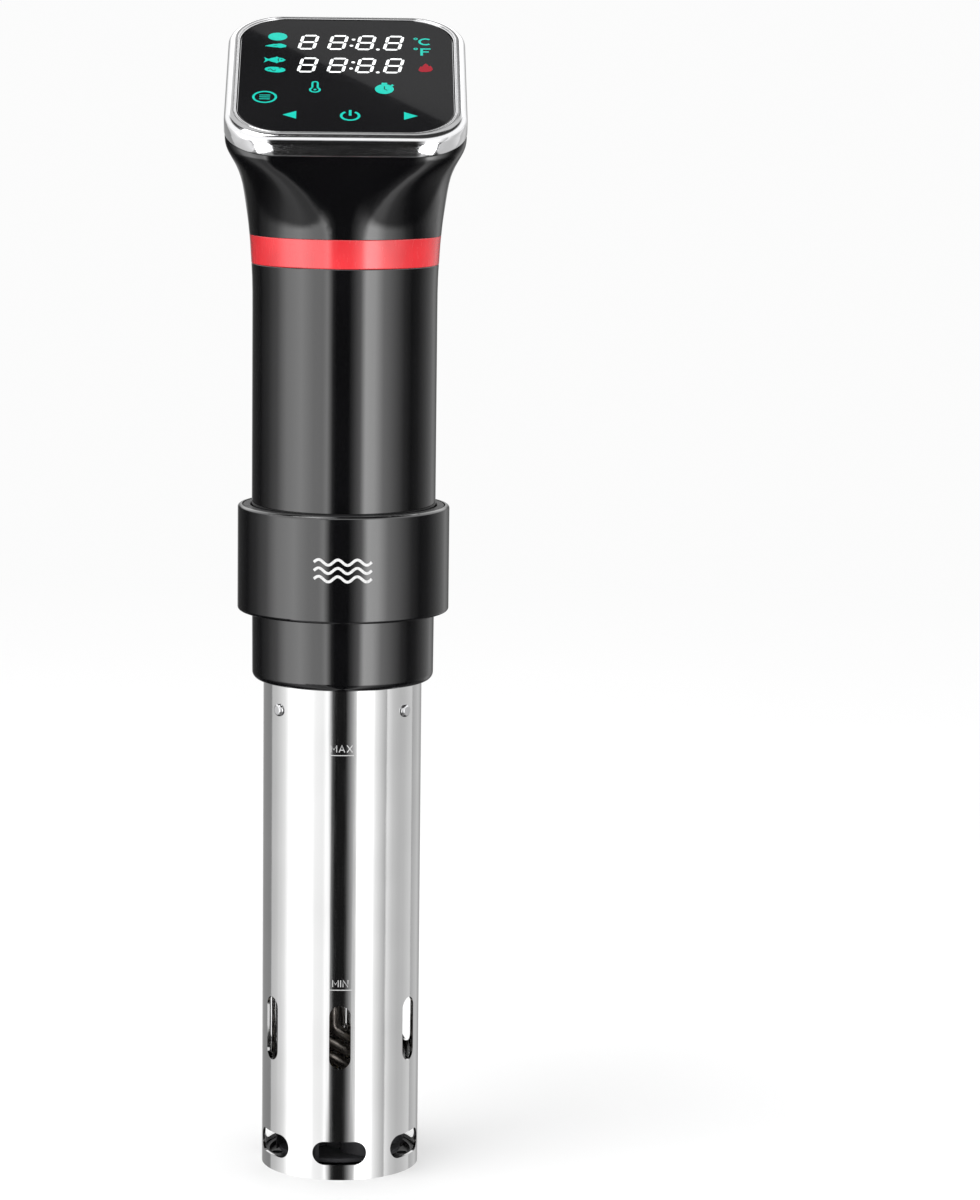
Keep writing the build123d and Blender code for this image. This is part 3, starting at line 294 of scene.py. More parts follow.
def printed_ink(name, colour):
    """Screen-printed ink with slightly ragged cover."""
    made = Shader(name, colour, roughness=0.5)
    ink = made.noise(1800, detail=3)
    made.colour_from(made.ramp(ink, [(0.3, shade(colour, 0.75)), (0.6, colour)]))
    made.bump(ink, 0.01 * MM)
    return made.material


BLACK = gloss_plastic("gloss_black_plastic", (0.003, 0.003, 0.0035))
RED = gloss_plastic("gloss_red_plastic", (0.83, 0.035, 0.045), roughness=0.2)
SATIN = satin_plastic("black_satin_plastic", (0.025, 0.025, 0.027))
RUBBER = rubber("black_rubber", (0.02, 0.02, 0.02))
SEAL = rubber("silicone_rubber", (0.32, 0.05, 0.03))
STEEL = polished_metal("polished_sleeve_steel", (0.74, 0.74, 0.74), 0.09, (1, 1, 0.03), 0.003)
SCREW = polished_metal("bright_screw_steel", (0.66, 0.66, 0.67), 0.14)
SHAFT = polished_metal("ground_shaft_steel", (0.6, 0.6, 0.6), 0.16, (0.1, 0.1, 4))
CHROME = polished_metal("chrome_plate", (0.88, 0.88, 0.89), 0.11)
BRASS = polished_metal("turned_brass", (0.75, 0.56, 0.24), 0.2, (0.2, 0.2, 3), 0.006)
ALUMINIUM = polished_metal("satin_aluminium", (0.72, 0.73, 0.74), 0.3, (1, 1, 0.1), 0.006)
ZINC = polished_metal("zinc_plate", (0.62, 0.64, 0.66), 0.32, depth=0.01)
SHEATH = heat_tinted_steel()
GLASS = panel_glass()
BOARD = circuit_board()
FERRITE = satin_plastic("sintered_ferrite", (0.05, 0.05, 0.05), 0.7, 0.06)
LAMINATION = polished_metal("armature_laminations", (0.35, 0.3, 0.26), 0.4, (0.1, 0.1, 6), 0.03)
NYLON = satin_plastic("filled_nylon", (0.06, 0.06, 0.065), 0.5)
NATURAL = satin_plastic("natural_nylon", (0.62, 0.61, 0.56), 0.45)
TAPE = satin_plastic("transformer_tape", (0.72, 0.48, 0.06), 0.35)
RELAY = gloss_plastic("relay_case", (0.02, 0.08, 0.32), 0.25)
TERMINAL = satin_plastic("terminal_block", (0.04, 0.3, 0.12), 0.4)
CAPACITOR = gloss_plastic("capacitor_sleeve", (0.02, 0.03, 0.12), 0.25)
LEAD = rubber("lead_insulation", (0.6, 0.6, 0.56))
LENS = satin_plastic("milky_display_lens", (0.7, 0.72, 0.73), 0.3)
TEAL = lit_print("teal_symbols", (0.010, 0.49, 0.39), 0.42)
WHITE_LIT = lit_print("white_digits", (0.95, 0.97, 0.97), 0.75)
FLAME = lit_print("red_flame", (0.33, 0.002, 0.015), 0.2)
BLANK = satin_plastic("symbol_detail", (0.01, 0.05, 0.04), 0.3)
WHITE_INK = printed_ink("white_ink", (0.85, 0.85, 0.85))
ETCH = printed_ink("etched_mark", (0.62, 0.62, 0.62))

FINISHES = {
    BLACK: ["handle_tube", "neck_shell", "clamp_collar", "clamp_knob"],
    RED: ["red_band"],
    SATIN: ["bottom_cap", "heater_base", "buzzer", "clamp_liner", "clamp_pad", "motor_end_bell"],
    RUBBER: ["cord_gland", "panel_gasket", "jaw_pad", "shaft_seal"],
    SEAL: ["handle_seal_ring", "sleeve_seal_ring"],
    STEEL: ["steel_sleeve", "temperature_probe", "water_level_probes", "stay_rods"],
    SCREW: [
        "sleeve_screws",
        "display_board_screws",
        "base_retaining_ring",
        "stay_nuts",
        "shaft_support_spider",
        "coupling_grub_screws",
        "motor_plate_screws",
        "motor_screws",
        "clamp_screw",
    ],
    SHAFT: ["drive_shaft"],
    CHROME: ["chrome_bezel"],
    BRASS: [
        "clamp_nut",
        "upper_shaft_bush",
        "lower_shaft_bush",
        "heater_terminals",
        "motor_bearings",
        "motor_standoffs",
        "touch_key_springs",
    ],
    ALUMINIUM: ["shaft_coupling", "motor_plate", "triac_heatsink"],
    ZINC: ["motor_can"],
    SHEATH: ["heater_coil"],
    GLASS: ["panel_glass"],
    BOARD: ["display_board", "power_board"],
    LAMINATION: ["motor_armature"],
    FERRITE: ["motor_magnets"],
    NYLON: ["impeller"],
    NATURAL: ["board_carrier"],
    TAPE: ["transformer"],
    RELAY: ["heater_relay"],
    TERMINAL: ["terminal_block"],
    CAPACITOR: ["capacitors"],
    LEAD: ["heater_leads"],
    LENS: ["led_digit_modules", "indicator_leds"],
}


def finish_nodes():
    """Gives every carried-over CAD node its material."""
    for material, names in FINISHES.items():
        for name in names:
            slots = nodes[name].data.materials
            slots.clear()
            slots.append(material)


finish_nodes()

# ---------------------------------------------------------------- mesh helpers


def piece(name, vertices, faces, material, body, smooth=True):
    """A mesh object that rides on a body."""
    mesh = bpy.data.meshes.new(name)
    mesh.from_pydata([tuple(v) for v in vertices], [], faces)
    mesh.materials.append(material)
    for polygon in mesh.polygons:
        polygon.use_smooth = smooth
    mesh.validate()
    made = bpy.data.objects.new(name, mesh)
    scene.collection.objects.link(made)
    if body:
        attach(made, body)
    return made


def fix_normals(made):
    """Makes a closed mesh's faces point outwards."""
    work = bmesh.new()
    work.from_mesh(made.data)
    bmesh.ops.recalc_face_normals(work, faces=work.faces)
    work.to_mesh(made.data)
    work.free()
    return made


def sharpen(made, angle=35):
    """Keeps edges over an angle crisp under smooth shading."""
    made.data.set_sharp_from_angle(angle=radians(angle))
    return made


class Artwork:
    """Flat shapes in millimetres, laid on a surface by a mapping, one step above it."""

    def __init__(self, place):
        self.place = place
        self.vertices = []
        self.faces = []

    def fill(self, points, lift=1):
        """A filled outline."""
        start = len(self.vertices)
        self.vertices += [self.place(u, v, lift * PRINT_LIFT) for u, v in points]
        self.faces.append(tuple(range(start, start + len(points))))

    def stroke(self, points, width, closed=False, lift=1):
        """A line of even width through the points."""
        count = len(points)
        start = len(self.vertices)
        for number, (u, v) in enumerate(points):
            before = points[number - 1] if number or closed else points[number]
            after = points[(number + 1) % count] if number < count - 1 or closed else points[number]
            du, dv = after[0] - before[0], after[1] - before[1]
            size = sqrt(du * du + dv * dv)
            across = (-dv / size * width / 2, du / size * width / 2)
            self.vertices.append(self.place(u + across[0], v + across[1], lift * PRINT_LIFT))
            self.vertices.append(self.place(u - across[0], v - across[1], lift * PRINT_LIFT))
        for number in range(count if closed else count - 1):
            a = start + 2 * number
            b = start + 2 * ((number + 1) % count)
            self.faces.append((a, a + 1, b + 1, b))

    def ring(self, u, v, radius, width, first=0.0, sweep=360.0, lift=1):
        """A ring, or part of one, counted from the right in degrees."""
        closed = sweep >= 360
        steps = max(12, int(sweep / 8))
        stops = steps if closed else steps + 1
        turns = [radians(first + sweep * number / steps) for number in range(stops)]
        points = [(u + radius * cos(a), v + radius * sin(a)) for a in turns]
        self.stroke(points, width, closed, lift)

    def disc(self, u, v, half_u, half_v, lift=1, steps=40):
        """A filled ellipse."""
        turns = [2 * pi * number / steps for number in range(steps)]
        self.fill([(u + half_u * cos(a), v + half_v * sin(a)) for a in turns], lift)

    def build(self, name, material, body):
        """Makes the piece."""
        made = piece(name, self.vertices, self.faces, material, body, smooth=False)
        return fix_outwards(made, self.place)


def fix_outwards(made, place):
    """Turns faces that look into the surface."""
    out = place(0, 0, MM) - place(0, 0, 0)
    work = bmesh.new()
    work.from_mesh(made.data)
    work.normal_update()
    wrong = [face for face in work.faces if face.normal.dot(out) < 0]
    bmesh.ops.reverse_faces(work, faces=wrong)
    work.to_mesh(made.data)
    work.free()
    return made


# ---------------------------------------------------------------- chrome bezel


def rounded_rectangle(half_u, half_v, corner, steps=20):
    """Points round a rounded rectangle, counter-clockwise from the right side."""
    points = []
    for quarter in range(4):
        side_u = 1 if quarter in (0, 3) else -1
        side_v = 1 if quarter in (0, 1) else -1
        for number in range(steps + 1):
            a = radians(90 * quarter + 90 * number / steps)
            u = side_u * (half_u - corner) + corner * cos(a)
            v = side_v * (half_v - corner) + corner * sin(a)
            points.append((u, v))
    return points


# half width, half height and corner radius, in mm
BEZEL_OUTER = (37.2, 40.0, 16.0)
BEZEL_INNER = (33.45, 36.55, 14.55)
BEZEL_SHIFT = 0.5
BEZEL_TOP, BEZEL_FOOT = 0.4, 6.95
BEZEL_SHOULDER, BEZEL_DOME = 2.8, 0.74


def bezel_point(u, v, lift):
    """A point of the frame, from the glass's centre in true millimetres."""
    return GLASS_CENTRE + (RIGHT * u + PANEL_REAR * v) * MM + PANEL_NORMAL * lift


def bezel_profile():
    """The frame's section as (share of the way in from the outside, height above the glass)."""
    turns = [radians(6 * number) for number in range(1, 15)]
    dome = [(BEZEL_DOME * (1 - cos(a)), BEZEL_SHOULDER * (sin(a) - 1)) for a in turns]
    return [
        (1.0, -BEZEL_FOOT),
        (0.12, -BEZEL_FOOT),
        (0.03, 0.25 - BEZEL_FOOT),
        (0.0, 0.7 - BEZEL_FOOT),
        (0.0, -4.2),
        (0.0, -BEZEL_SHOULDER - 0.3),
        *dome,
        (0.76, -0.06),
        (0.79, -0.3),
        (0.83, -0.34),
        (0.86, -0.2),
        (0.91, -0.14),
        (0.96, -0.2),
        (1.0, -0.45),
        (1.0, -2.3),
    ]


def make_bezel():
    """The polished frame: a rounded outer shoulder, a fine groove and a lip beside the glass."""
    profile = bezel_profile()
    vertices, faces = [], []
    for share, height in profile:
        half_u, half_v, corner = (o + (i - o) * share for o, i in zip(BEZEL_OUTER, BEZEL_INNER))
        shift = BEZEL_SHIFT * (share - 1)
        for u, v in rounded_rectangle(half_u, half_v, corner):
            vertices.append(bezel_point(u, v + shift, (height + BEZEL_TOP) * MM))
    size = len(vertices) // len(profile)
    for row in range(len(profile)):
        below = (row + 1) % len(profile)
        for number in range(size):
            following = (number + 1) % size
            a, b = row * size + number, row * size + following
            c, d = below * size + following, below * size + number
            faces.append((a, b, c, d))
    made = fix_normals(piece("bezel_frame", vertices, faces, CHROME, "unit"))
    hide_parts("chrome_bezel")
    return sharpen(made, 50)


bezel = make_bezel()

# ---------------------------------------------------------------- panel symbols

DIGIT_HEIGHT, DIGIT_WIDTH, DIGIT_STROKE = 10.0, 5.7, 0.98
DIGIT_SLANT = 0.16
DIGIT_ROWS = (21.9, 6.4)
DIGIT_COLUMNS = (-12.4, -2.9, 6.1, 15.1)
COLON_PLACE, COLON_HALF_GAP = 1.8, 2.1
POINT_PLACE, POINT_DROP = 10.0, 4.5
DOT_SIZE = (0.6, 0.62)
SEGMENT_GAP = 0.28


def segment(art, start, end, centre):
    """One lit segment: a slim hexagon, slanted with its digit."""
    (u0, v0), (u1, v1) = start, end
    du, dv = u1 - u0, v1 - v0
    size = sqrt(du * du + dv * dv)
    du, dv = du / size, dv / size
    gap, half = SEGMENT_GAP, DIGIT_STROKE / 2
    outline = []
    for along, across in (
        (gap, 0),
        (gap + half, half),
        (size - gap - half, half),
        (size - gap, 0),
        (size - gap - half, -half),
        (gap + half, -half),
    ):
        u = u0 + du * along - dv * across
        v = v0 + dv * along + du * across
        outline.append((centre[0] + u + v * DIGIT_SLANT, centre[1] + v))
    art.fill(outline)


def digit(art, centre):
    """All seven segments of one digit."""
    right = (DIGIT_WIDTH - DIGIT_STROKE) / 2
    top = (DIGIT_HEIGHT - DIGIT_STROKE) / 2
    for v in (-top, 0, top):
        segment(art, (-right, v), (right, v), centre)
    for u in (-right, right):
        segment(art, (u, -top), (u, 0), centre)
        segment(art, (u, 0), (u, top), centre)


def make_digits():
    """Two rows of four digits, each with a colon and a decimal point."""
    art = Artwork(panel_point)
    for row in DIGIT_ROWS:
        for column in DIGIT_COLUMNS:
            digit(art, (column, row))
        for v in (-COLON_HALF_GAP, COLON_HALF_GAP):
            art.disc(COLON_PLACE + v * DIGIT_SLANT, row + v, *DOT_SIZE, steps=16)
        art.disc(POINT_PLACE, row - POINT_DROP, *DOT_SIZE, steps=16)
    art.build("display_digits", WHITE_LIT, "unit")


def leg_outline(centre):
    """A chicken leg lying on its side, its bone to the left."""
    points = []
    for number in range(48):
        a = 2 * pi * number / 48
        reach = 3.4 * cos(a)
        plump = 1.95 * sin(a) * (0.62 + 0.38 * cos(a - 0.5))
        ripple = 0.12 * sin(7 * a) if cos(a) > 0 else 0
        points.append((centre[0] + reach, centre[1] + plump + ripple))
    return points


def fish_outline(centre):
    """A fish facing right, with a forked tail and fins."""
    half = [(3.5, 0), (2.6, 1.1), (1.2, 1.6), (0.6, 2.3), (0.1, 1.75), (-1.2, 1.2), (-2.0, 0.5)]
    tail = [(-3.5, 1.8), (-3.0, 0)]
    lower = [(u, -v) for u, v in reversed(half[1:] + tail[:1])]
    return [(centre[0] + u, centre[1] + v) for u, v in half + tail + lower]


def steak_outline(centre):
    """A rounded, slightly pinched steak."""
    points = []
    for number in range(40):
        a = 2 * pi * number / 40
        reach = 1 + 0.16 * cos(2 * a + 0.6) - 0.1 * cos(a - 2.2)
        points.append((centre[0] + 2.9 * reach * cos(a), centre[1] + 2.1 * reach * sin(a)))
    return points


EGG_PLACE, LEG_PLACE = (-22.4, 25.5), (-22.9, 19.0)
FISH_PLACE, STEAK_PLACE = (-23.0, 9.6), (-23.0, 3.2)


def make_food_symbols(art, detail):
    """The programme symbols down the left side: egg, leg, fish and steak."""
    art.disc(*EGG_PLACE, 3.1, 2.7)
    art.fill(leg_outline(LEG_PLACE))
    u, v = LEG_PLACE
    detail.stroke([(u - 0.7, v + 0.3), (u + 0.5, v + 0.5)], 0.28, lift=2)
    art.fill(fish_outline(FISH_PLACE))
    u, v = FISH_PLACE
    detail.disc(u + 2.1, v + 0.3, 0.3, 0.3, lift=2, steps=12)
    detail.stroke([(u + 1.3, v - 1.0), (u + 1.0, v), (u + 1.3, v + 1.0)], 0.3, lift=2)
    art.fill(steak_outline(STEAK_PLACE))
    u, v = STEAK_PLACE
    marbling = [(u - 2.0 + 0.35 * n, v - 0.4 + 0.75 * sin(0.9 * n)) for n in range(8)]
    detail.stroke(marbling, 0.36, lift=2)
    detail.disc(u + 1.7, v + 0.9, 0.42, 0.36, lift=2, steps=12)


DEGREE_COLUMN, DEGREE_ROWS = 22.2, (25.0, 18.1)
CELSIUS_PLACE, FAHRENHEIT_PLACE = (25.4, 23.0), (24.1, 13.6)


def make_unit_symbols(art):
    """Degrees Celsius and Fahrenheit."""
    for height in DEGREE_ROWS:
        art.ring(DEGREE_COLUMN, height, 0.5, 0.4)
    art.ring(*CELSIUS_PLACE, 1.95, 0.8, first=50, sweep=260)
    u, v = FAHRENHEIT_PLACE
    art.stroke([(u, v), (u, v + 4.9)], 0.8)
    art.stroke([(u - 0.4, v + 4.5), (u + 2.9, v + 4.5)], 0.75)
    art.stroke([(u, v + 2.5), (u + 2.3, v + 2.5)], 0.7)


# a ring that is open at the top, as its first angle and its sweep
OPEN_TOP = (122, 296)
MENU_PLACE, MENU_LINE_GAP, MENU_LINE_HALF = (-25.7, -15.2), 1.25, 1.7
THERMOMETER_PLACE, TUBE_R = (-9.9, -10.1), 0.85
TIMER_PLACE = (12.1, -9.2)
KEY_ROW = -26.6
POWER_PLACE = (1.35, KEY_ROW - 0.3)
ARROW_REACH, ARROW_LENGTH, ARROW_HALF_HEIGHT = 21.2, 4.3, 2.5


def make_menu_key(art):
    """Three lines in a ring."""
    u, v = MENU_PLACE
    art.ring(u, v, 3.55, 0.75)
    for step in (-1, 0, 1):
        height = v + MENU_LINE_GAP * step
        art.stroke([(u - MENU_LINE_HALF, height), (u + MENU_LINE_HALF, height)], 0.45)


def make_temperature_key(art):
    """A thermometer: a round-topped tube over a bulb."""
    u, v = THERMOMETER_PLACE
    bend = [radians(18 * number) for number in range(11)]
    arch = [(u + TUBE_R * cos(a), v + 4.5 + TUBE_R * sin(a)) for a in bend]
    art.stroke([(u + TUBE_R, v + 1.4), *arch, (u - TUBE_R, v + 1.4)], 0.62)
    art.ring(u, v, 1.55, 0.68, *OPEN_TOP)
    art.disc(u, v + 0.1, 0.5, 0.5, steps=14)


def make_timer_key(art, detail):
    """A stopwatch with its crown, side button and hands."""
    u, v = TIMER_PLACE
    art.disc(u, v, 3.0, 3.2)
    art.fill([(u - 0.9, v + 3.0), (u + 0.9, v + 3.0), (u + 0.9, v + 4.2), (u - 0.9, v + 4.2)])
    art.fill([(u + 1.8, v + 2.4), (u + 2.4, v + 1.8), (u + 3.1, v + 2.6), (u + 2.5, v + 3.2)])
    detail.stroke([(u, v + 1.9), (u, v), (u + 0.9, v - 0.8)], 0.36, lift=2)


def make_bottom_keys(art):
    """The power key between the down and up arrows."""
    middle = POWER_PLACE[0]
    for side in (-1, 1):
        tip = middle + side * ARROW_REACH
        back = tip - side * ARROW_LENGTH
        art.fill([(tip, KEY_ROW), (back, KEY_ROW + ARROW_HALF_HEIGHT), (back, KEY_ROW - ARROW_HALF_HEIGHT)])
    art.ring(*POWER_PLACE, 2.8, 0.85, *OPEN_TOP)
    art.stroke([(middle, KEY_ROW - 0.2), (middle, KEY_ROW + 3.4)], 0.85)


FLAME_PLACE, FLAME_STRETCH = (25.3, 5.1), 1.2


def make_flame():
    """The heating light."""
    art = Artwork(panel_point)
    half = [(0, 2.6), (0.7, 1.9), (1.1, 1.0), (1.6, 1.35), (2.2, 0.1)]
    half += [(2.25, -0.9), (1.5, -1.8), (0, -2.2)]
    other = [(-u, v - 0.25 * u) for u, v in reversed(half[1:-1])]
    centre_u, centre_v = FLAME_PLACE
    art.fill([(centre_u + u, centre_v + FLAME_STRETCH * v) for u, v in half + other])
    art.build("heating_light", FLAME, "unit")


def make_symbols():
    """Every teal symbol and its cut-out details."""
    art = Artwork(panel_point)
    detail = Artwork(panel_point)
    make_food_symbols(art, detail)
    make_unit_symbols(art)
    make_menu_key(art)
    make_temperature_key(art)
    make_timer_key(art, detail)
    make_bottom_keys(art)
    art.build("panel_symbols", TEAL, "unit")
    detail.build("symbol_cutouts", BLANK, "unit")


make_digits()
make_symbols()
make_flame()

# ---------------------------------------------------------------- clamp screw and cord gland

SCREW_MAJOR, SCREW_MINOR, SCREW_PITCH = 3.93, 2.95, 3.0
SCREW_TIP_R, SCREW_TIP_LENGTH, SCREW_TIP_CHAMFER = 2.5, 2.4, 0.4
# half of the thread's foot and one of its flanks, as shares of the pitch
THREAD_HALF_FOOT, THREAD_FLANK = 0.36, 0.18
THREAD_RUNOUT = 0.9
SCREW_RING_STEP = 0.2
RING_POINTS = 48


def thread_share(phase):
    """How far out a trapezoidal thread stands, from 0 in its groove to 1 on its crest."""
    phase %= 1.0
    distance = min(phase, 1.0 - phase)
    return min(1.0, max(0.0, (THREAD_HALF_FOOT - distance) / THREAD_FLANK))


def screw_radius(along, turn):
    """The screw's radius, in mm, at a distance from its tip and a turn of 0 to 1."""
    thread = SCREW_MINOR + (SCREW_MAJOR - SCREW_MINOR) * thread_share(turn + along / SCREW_PITCH)
    if along < SCREW_TIP_LENGTH:
        return SCREW_TIP_R - max(0.0, SCREW_TIP_CHAMFER - along)
    return min(thread, SCREW_TIP_R + THREAD_RUNOUT * (along - SCREW_TIP_LENGTH))


def ring_mesh(name, rings, material, body, closed=False):
    """A skin over rings of equally many points, with capped ends or joined into a loop."""
    size = len(rings[0])
    vertices = [point for ring in rings for point in ring]
    faces = []
    for row in range(len(rings) if closed else len(rings) - 1):
        following = (row + 1) % len(rings)
        for number in range(size):
            beside = (number + 1) % size
            a, b = row * size + number, row * size + beside
            c, d = following * size + beside, following * size + number
            faces.append((a, b, c, d))
    if not closed:
        last = (len(rings) - 1) * size
        faces += [tuple(range(size)), tuple(range(last, last + size))]
    return sharpen(fix_normals(piece(name, vertices, faces, material, body)), 40)


def round_y(centre, radius, angle, y):
    """A point on a circle round an axis that runs along y."""
    return Vector((centre.x + radius * sin(angle), y, centre.z + radius * cos(angle)))


def make_clamp_screw():
    """The screw with its thread, drawn left-handed, and its plain, chamfered tip."""
    low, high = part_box("clamp_screw")
    centre = middle_of("clamp_screw")
    length = (high.y - low.y) / MM
    count = int(length / SCREW_RING_STEP) + 2
    places = [min(length, SCREW_RING_STEP * number) for number in range(count)]
    rings = []
    for along in places:
        ring = []
        for number in range(RING_POINTS):
            turn = number / RING_POINTS
            radius = screw_radius(along, turn) * MM
            ring.append(round_y(centre, radius, 2 * pi * turn, low.y + along * MM))
        rings.append(ring)
    made = ring_mesh("threaded_clamp_screw", rings, SCREW, "thumb_screw")
    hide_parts("clamp_screw")


GLAND_OUTSIDE_LENGTH = 8.1
GLAND_STEM_R, GLAND_FLANGE_R, GLAND_BORE_R = 5.95, 7.6, 3.62
GLAND_TAIL_R, GLAND_TAPER = 6.3, 0.16
RIB_COUNT, RIB_PITCH, RIB_DEPTH = 4, 1.25, 0.55


def gland_profile(length):
    """The gland's section from the wall out, then back along its bore, as (along, radius)."""
    flange = length - GLAND_OUTSIDE_LENGTH
    edge = GLAND_FLANGE_R - 0.4
    section = [(0, GLAND_STEM_R), (flange, GLAND_STEM_R), (flange + 0.1, edge)]
    section += [(flange + 0.5, GLAND_FLANGE_R), (flange + 1.7, GLAND_FLANGE_R)]
    section += [(flange + 2.1, edge), (flange + 2.2, GLAND_TAIL_R + 0.05)]
    for rib in range(RIB_COUNT):
        start = flange + 2.6 + RIB_PITCH * rib
        radius = GLAND_TAIL_R - GLAND_TAPER * (start - flange - 2.1)
        section += [(start, radius), (start + 0.12, radius - RIB_DEPTH)]
        section += [(start + 0.5, radius - RIB_DEPTH - 0.05), (start + 0.62, radius - 0.1)]
    section += [(length - 0.35, 5.45), (length, 5.1), (length, 3.9)]
    return section + [(length - 0.3, GLAND_BORE_R), (0, GLAND_BORE_R)]


def make_gland():
    """The rubber cord gland at the back of the neck, with its flange and soft ribs."""
    low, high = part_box("cord_gland")
    centre = middle_of("cord_gland")
    turns = [2 * pi * number / RING_POINTS for number in range(RING_POINTS)]
    rings = []
    for along, radius in gland_profile((high.y - low.y) / MM):
        rings.append([round_y(centre, radius * MM, a, low.y + along * MM) for a in turns])
    made = ring_mesh("ribbed_cord_gland", rings, RUBBER, "unit", closed=True)
    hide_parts("cord_gland")


make_clamp_screw()
make_gland()

# ---------------------------------------------------------------- marks on the sleeve and collar

LETTERS = {
    "M": [[(0, 0), (0, 1), (0.4, 0.35), (0.8, 1), (0.8, 0)]],
    "A": [[(0, 0), (0.4, 1), (0.8, 0)], [(0.17, 0.33), (0.63, 0.33)]],
    "X": [[(0, 0), (0.75, 1)], [(0, 1), (0.75, 0)]],
    "I": [[(0, 0), (0, 1)]],
    "N": [[(0, 0), (0, 1), (0.7, 0), (0.7, 1)]],
}
LETTER_HEIGHT, LETTER_GAP, LETTER_STROKE = 2.2, 0.75, 0.3
WORD_LIFT = 1.0
LEVEL_STROKE = 0.28
MAX_LINE_Z, MIN_LINE_Z = 136.5, 61.6
LEVEL_START, LEVEL_STEP, LEVEL_POINTS = -3.8, 0.4, 20
WAVE_GAP, WAVE_RISE, WAVE_STROKE = 2.6, 0.85, 0.85
WAVE_START, WAVE_STEP, WAVE_POINTS = -9.0, 0.45, 41
POINTS_PER_WAVE = 13.3


def letter_width(letter):
    """The width of one stroke letter."""
    return max(u for stroke in LETTERS[letter] for u, _ in stroke) * LETTER_HEIGHT


def word_width(word):
    """The width of a word of stroke letters."""
    return sum(letter_width(letter) for letter in word) + LETTER_GAP * (len(word) - 1)


def make_level_mark(word, height):
    """A fill level: a fine line round the front of the sleeve with its word above."""
    art = Artwork(round_point(SLEEVE_R, height * MM))
    art.stroke([(LEVEL_START + LEVEL_STEP * n, 0) for n in range(LEVEL_POINTS)], LEVEL_STROKE)
    left = -word_width(word) / 2
    for letter in word:
        for stroke in LETTERS[letter]:
            points = [(left + u * LETTER_HEIGHT, WORD_LIFT + v * LETTER_HEIGHT) for u, v in stroke]
            art.stroke(points, LETTER_STROKE)
        left += letter_width(letter) + LETTER_GAP
    art.build(f"{word.lower()}_level_mark", ETCH, "unit")


def make_wave_mark():
    """Three printed waves on the collar, a plain sign for a water bath."""
    art = Artwork(round_point(COLLAR_R, COLLAR_MIDDLE_Z))
    for row in (-WAVE_GAP, 0.0, WAVE_GAP):
        wave = []
        for n in range(WAVE_POINTS):
            rise = WAVE_RISE * sin(2 * pi * n / POINTS_PER_WAVE)
            wave.append((WAVE_START + WAVE_STEP * n, row + rise))
        art.stroke(wave, WAVE_STROKE)
    art.build("collar_wave_mark", WHITE_INK, "clamp_bracket")


make_level_mark("MAX", MAX_LINE_Z)
make_level_mark("MIN", MIN_LINE_Z)
make_wave_mark()

# ---------------------------------------------------------------- studio

FLOOR_SIZE = 6.0
# distances from the origin at which the floor starts and stops fading into the backdrop
FLOOR_FADE = (0.35, 1.3)
SOFT_LIGHT = 1.12
BACKDROP_LIGHT = 0.97


def floor_material():
    """A pale floor that fades into the plain backdrop away from the object."""
    made = Shader("pale_floor", (0.9, 0.9, 0.9), roughness=0.6)
    made.roughness_from(made.range(made.noise(3), 0.5, 0.7))
    distance = made.nodes.new("ShaderNodeVectorMath")
    distance.operation = "LENGTH"
    made.links.new(made.coordinates(), distance.inputs[0])
    fade = made.range(distance.outputs["Value"], 0.0, 1.0, *FLOOR_FADE)
    glow = made.add("ShaderNodeEmission", Color=(1, 1, 1, 1), Strength=BACKDROP_LIGHT)
    mix = made.nodes.new("ShaderNodeMixShader")
    output = made.nodes["Material Output"]
    made.links.new(fade, mix.inputs[0])
    made.links.new(made.surface.outputs[0], mix.inputs[1])
    made.links.new(glow.outputs[0], mix.inputs[2])
    made.links.new(mix.outputs[0], output.inputs["Surface"])
    return made.material


def make_floor():
    """A plain pale floor."""
    size = FLOOR_SIZE
    corners = [(-size, -size, 0), (size, -size, 0), (size, size, 0), (-size, size, 0)]
    floor = piece("floor", corners, [(0, 1, 2, 3)], floor_material(), None, smooth=False)
    floor.visible_glossy = False
    floor.visible_shadow = False


def smooth_step(tree, value, low, high, start, end):
    """A value mapped smoothly from one range to another."""
    node = tree.nodes.new("ShaderNodeMapRange")
    node.interpolation_type = "SMOOTHSTEP"
    for name, number in zip(("From Min", "From Max", "To Min", "To Max"), (low, high, start, end)):
        node.inputs[name].default_value = number
    tree.links.new(value, node.inputs["Value"])
    return node.outputs["Result"]


def maths(tree, operation, *values):
    """One maths node; values are sockets or numbers."""
    node = tree.nodes.new("ShaderNodeMath")
    node.operation = operation
    for number, value in enumerate(values):
        if isinstance(value, (int, float)):
            node.inputs[number].default_value = value
        else:
            tree.links.new(value, node.inputs[number])
    return node.outputs[0]


BRIGHTEST = 3.0
LOWER_WALL_HEIGHTS, LOWER_WALL_SHARE = (-0.5, -0.32), 0.22
UPPER_WALL_HEIGHTS, UPPER_WALL_LIGHT = (0.12, 0.4), 1.1
CEILING_HEIGHTS, CEILING_LIGHT = (0.68, 0.8), 0.035


def choose(tree, switch, when_on, when_off):
    """One of two values by a switch of 0 or 1."""
    on = maths(tree, "MULTIPLY", switch, when_on)
    off = maths(tree, "MULTIPLY", maths(tree, "SUBTRACT", 1.0, switch), when_off)
    return maths(tree, "ADD", on, off)


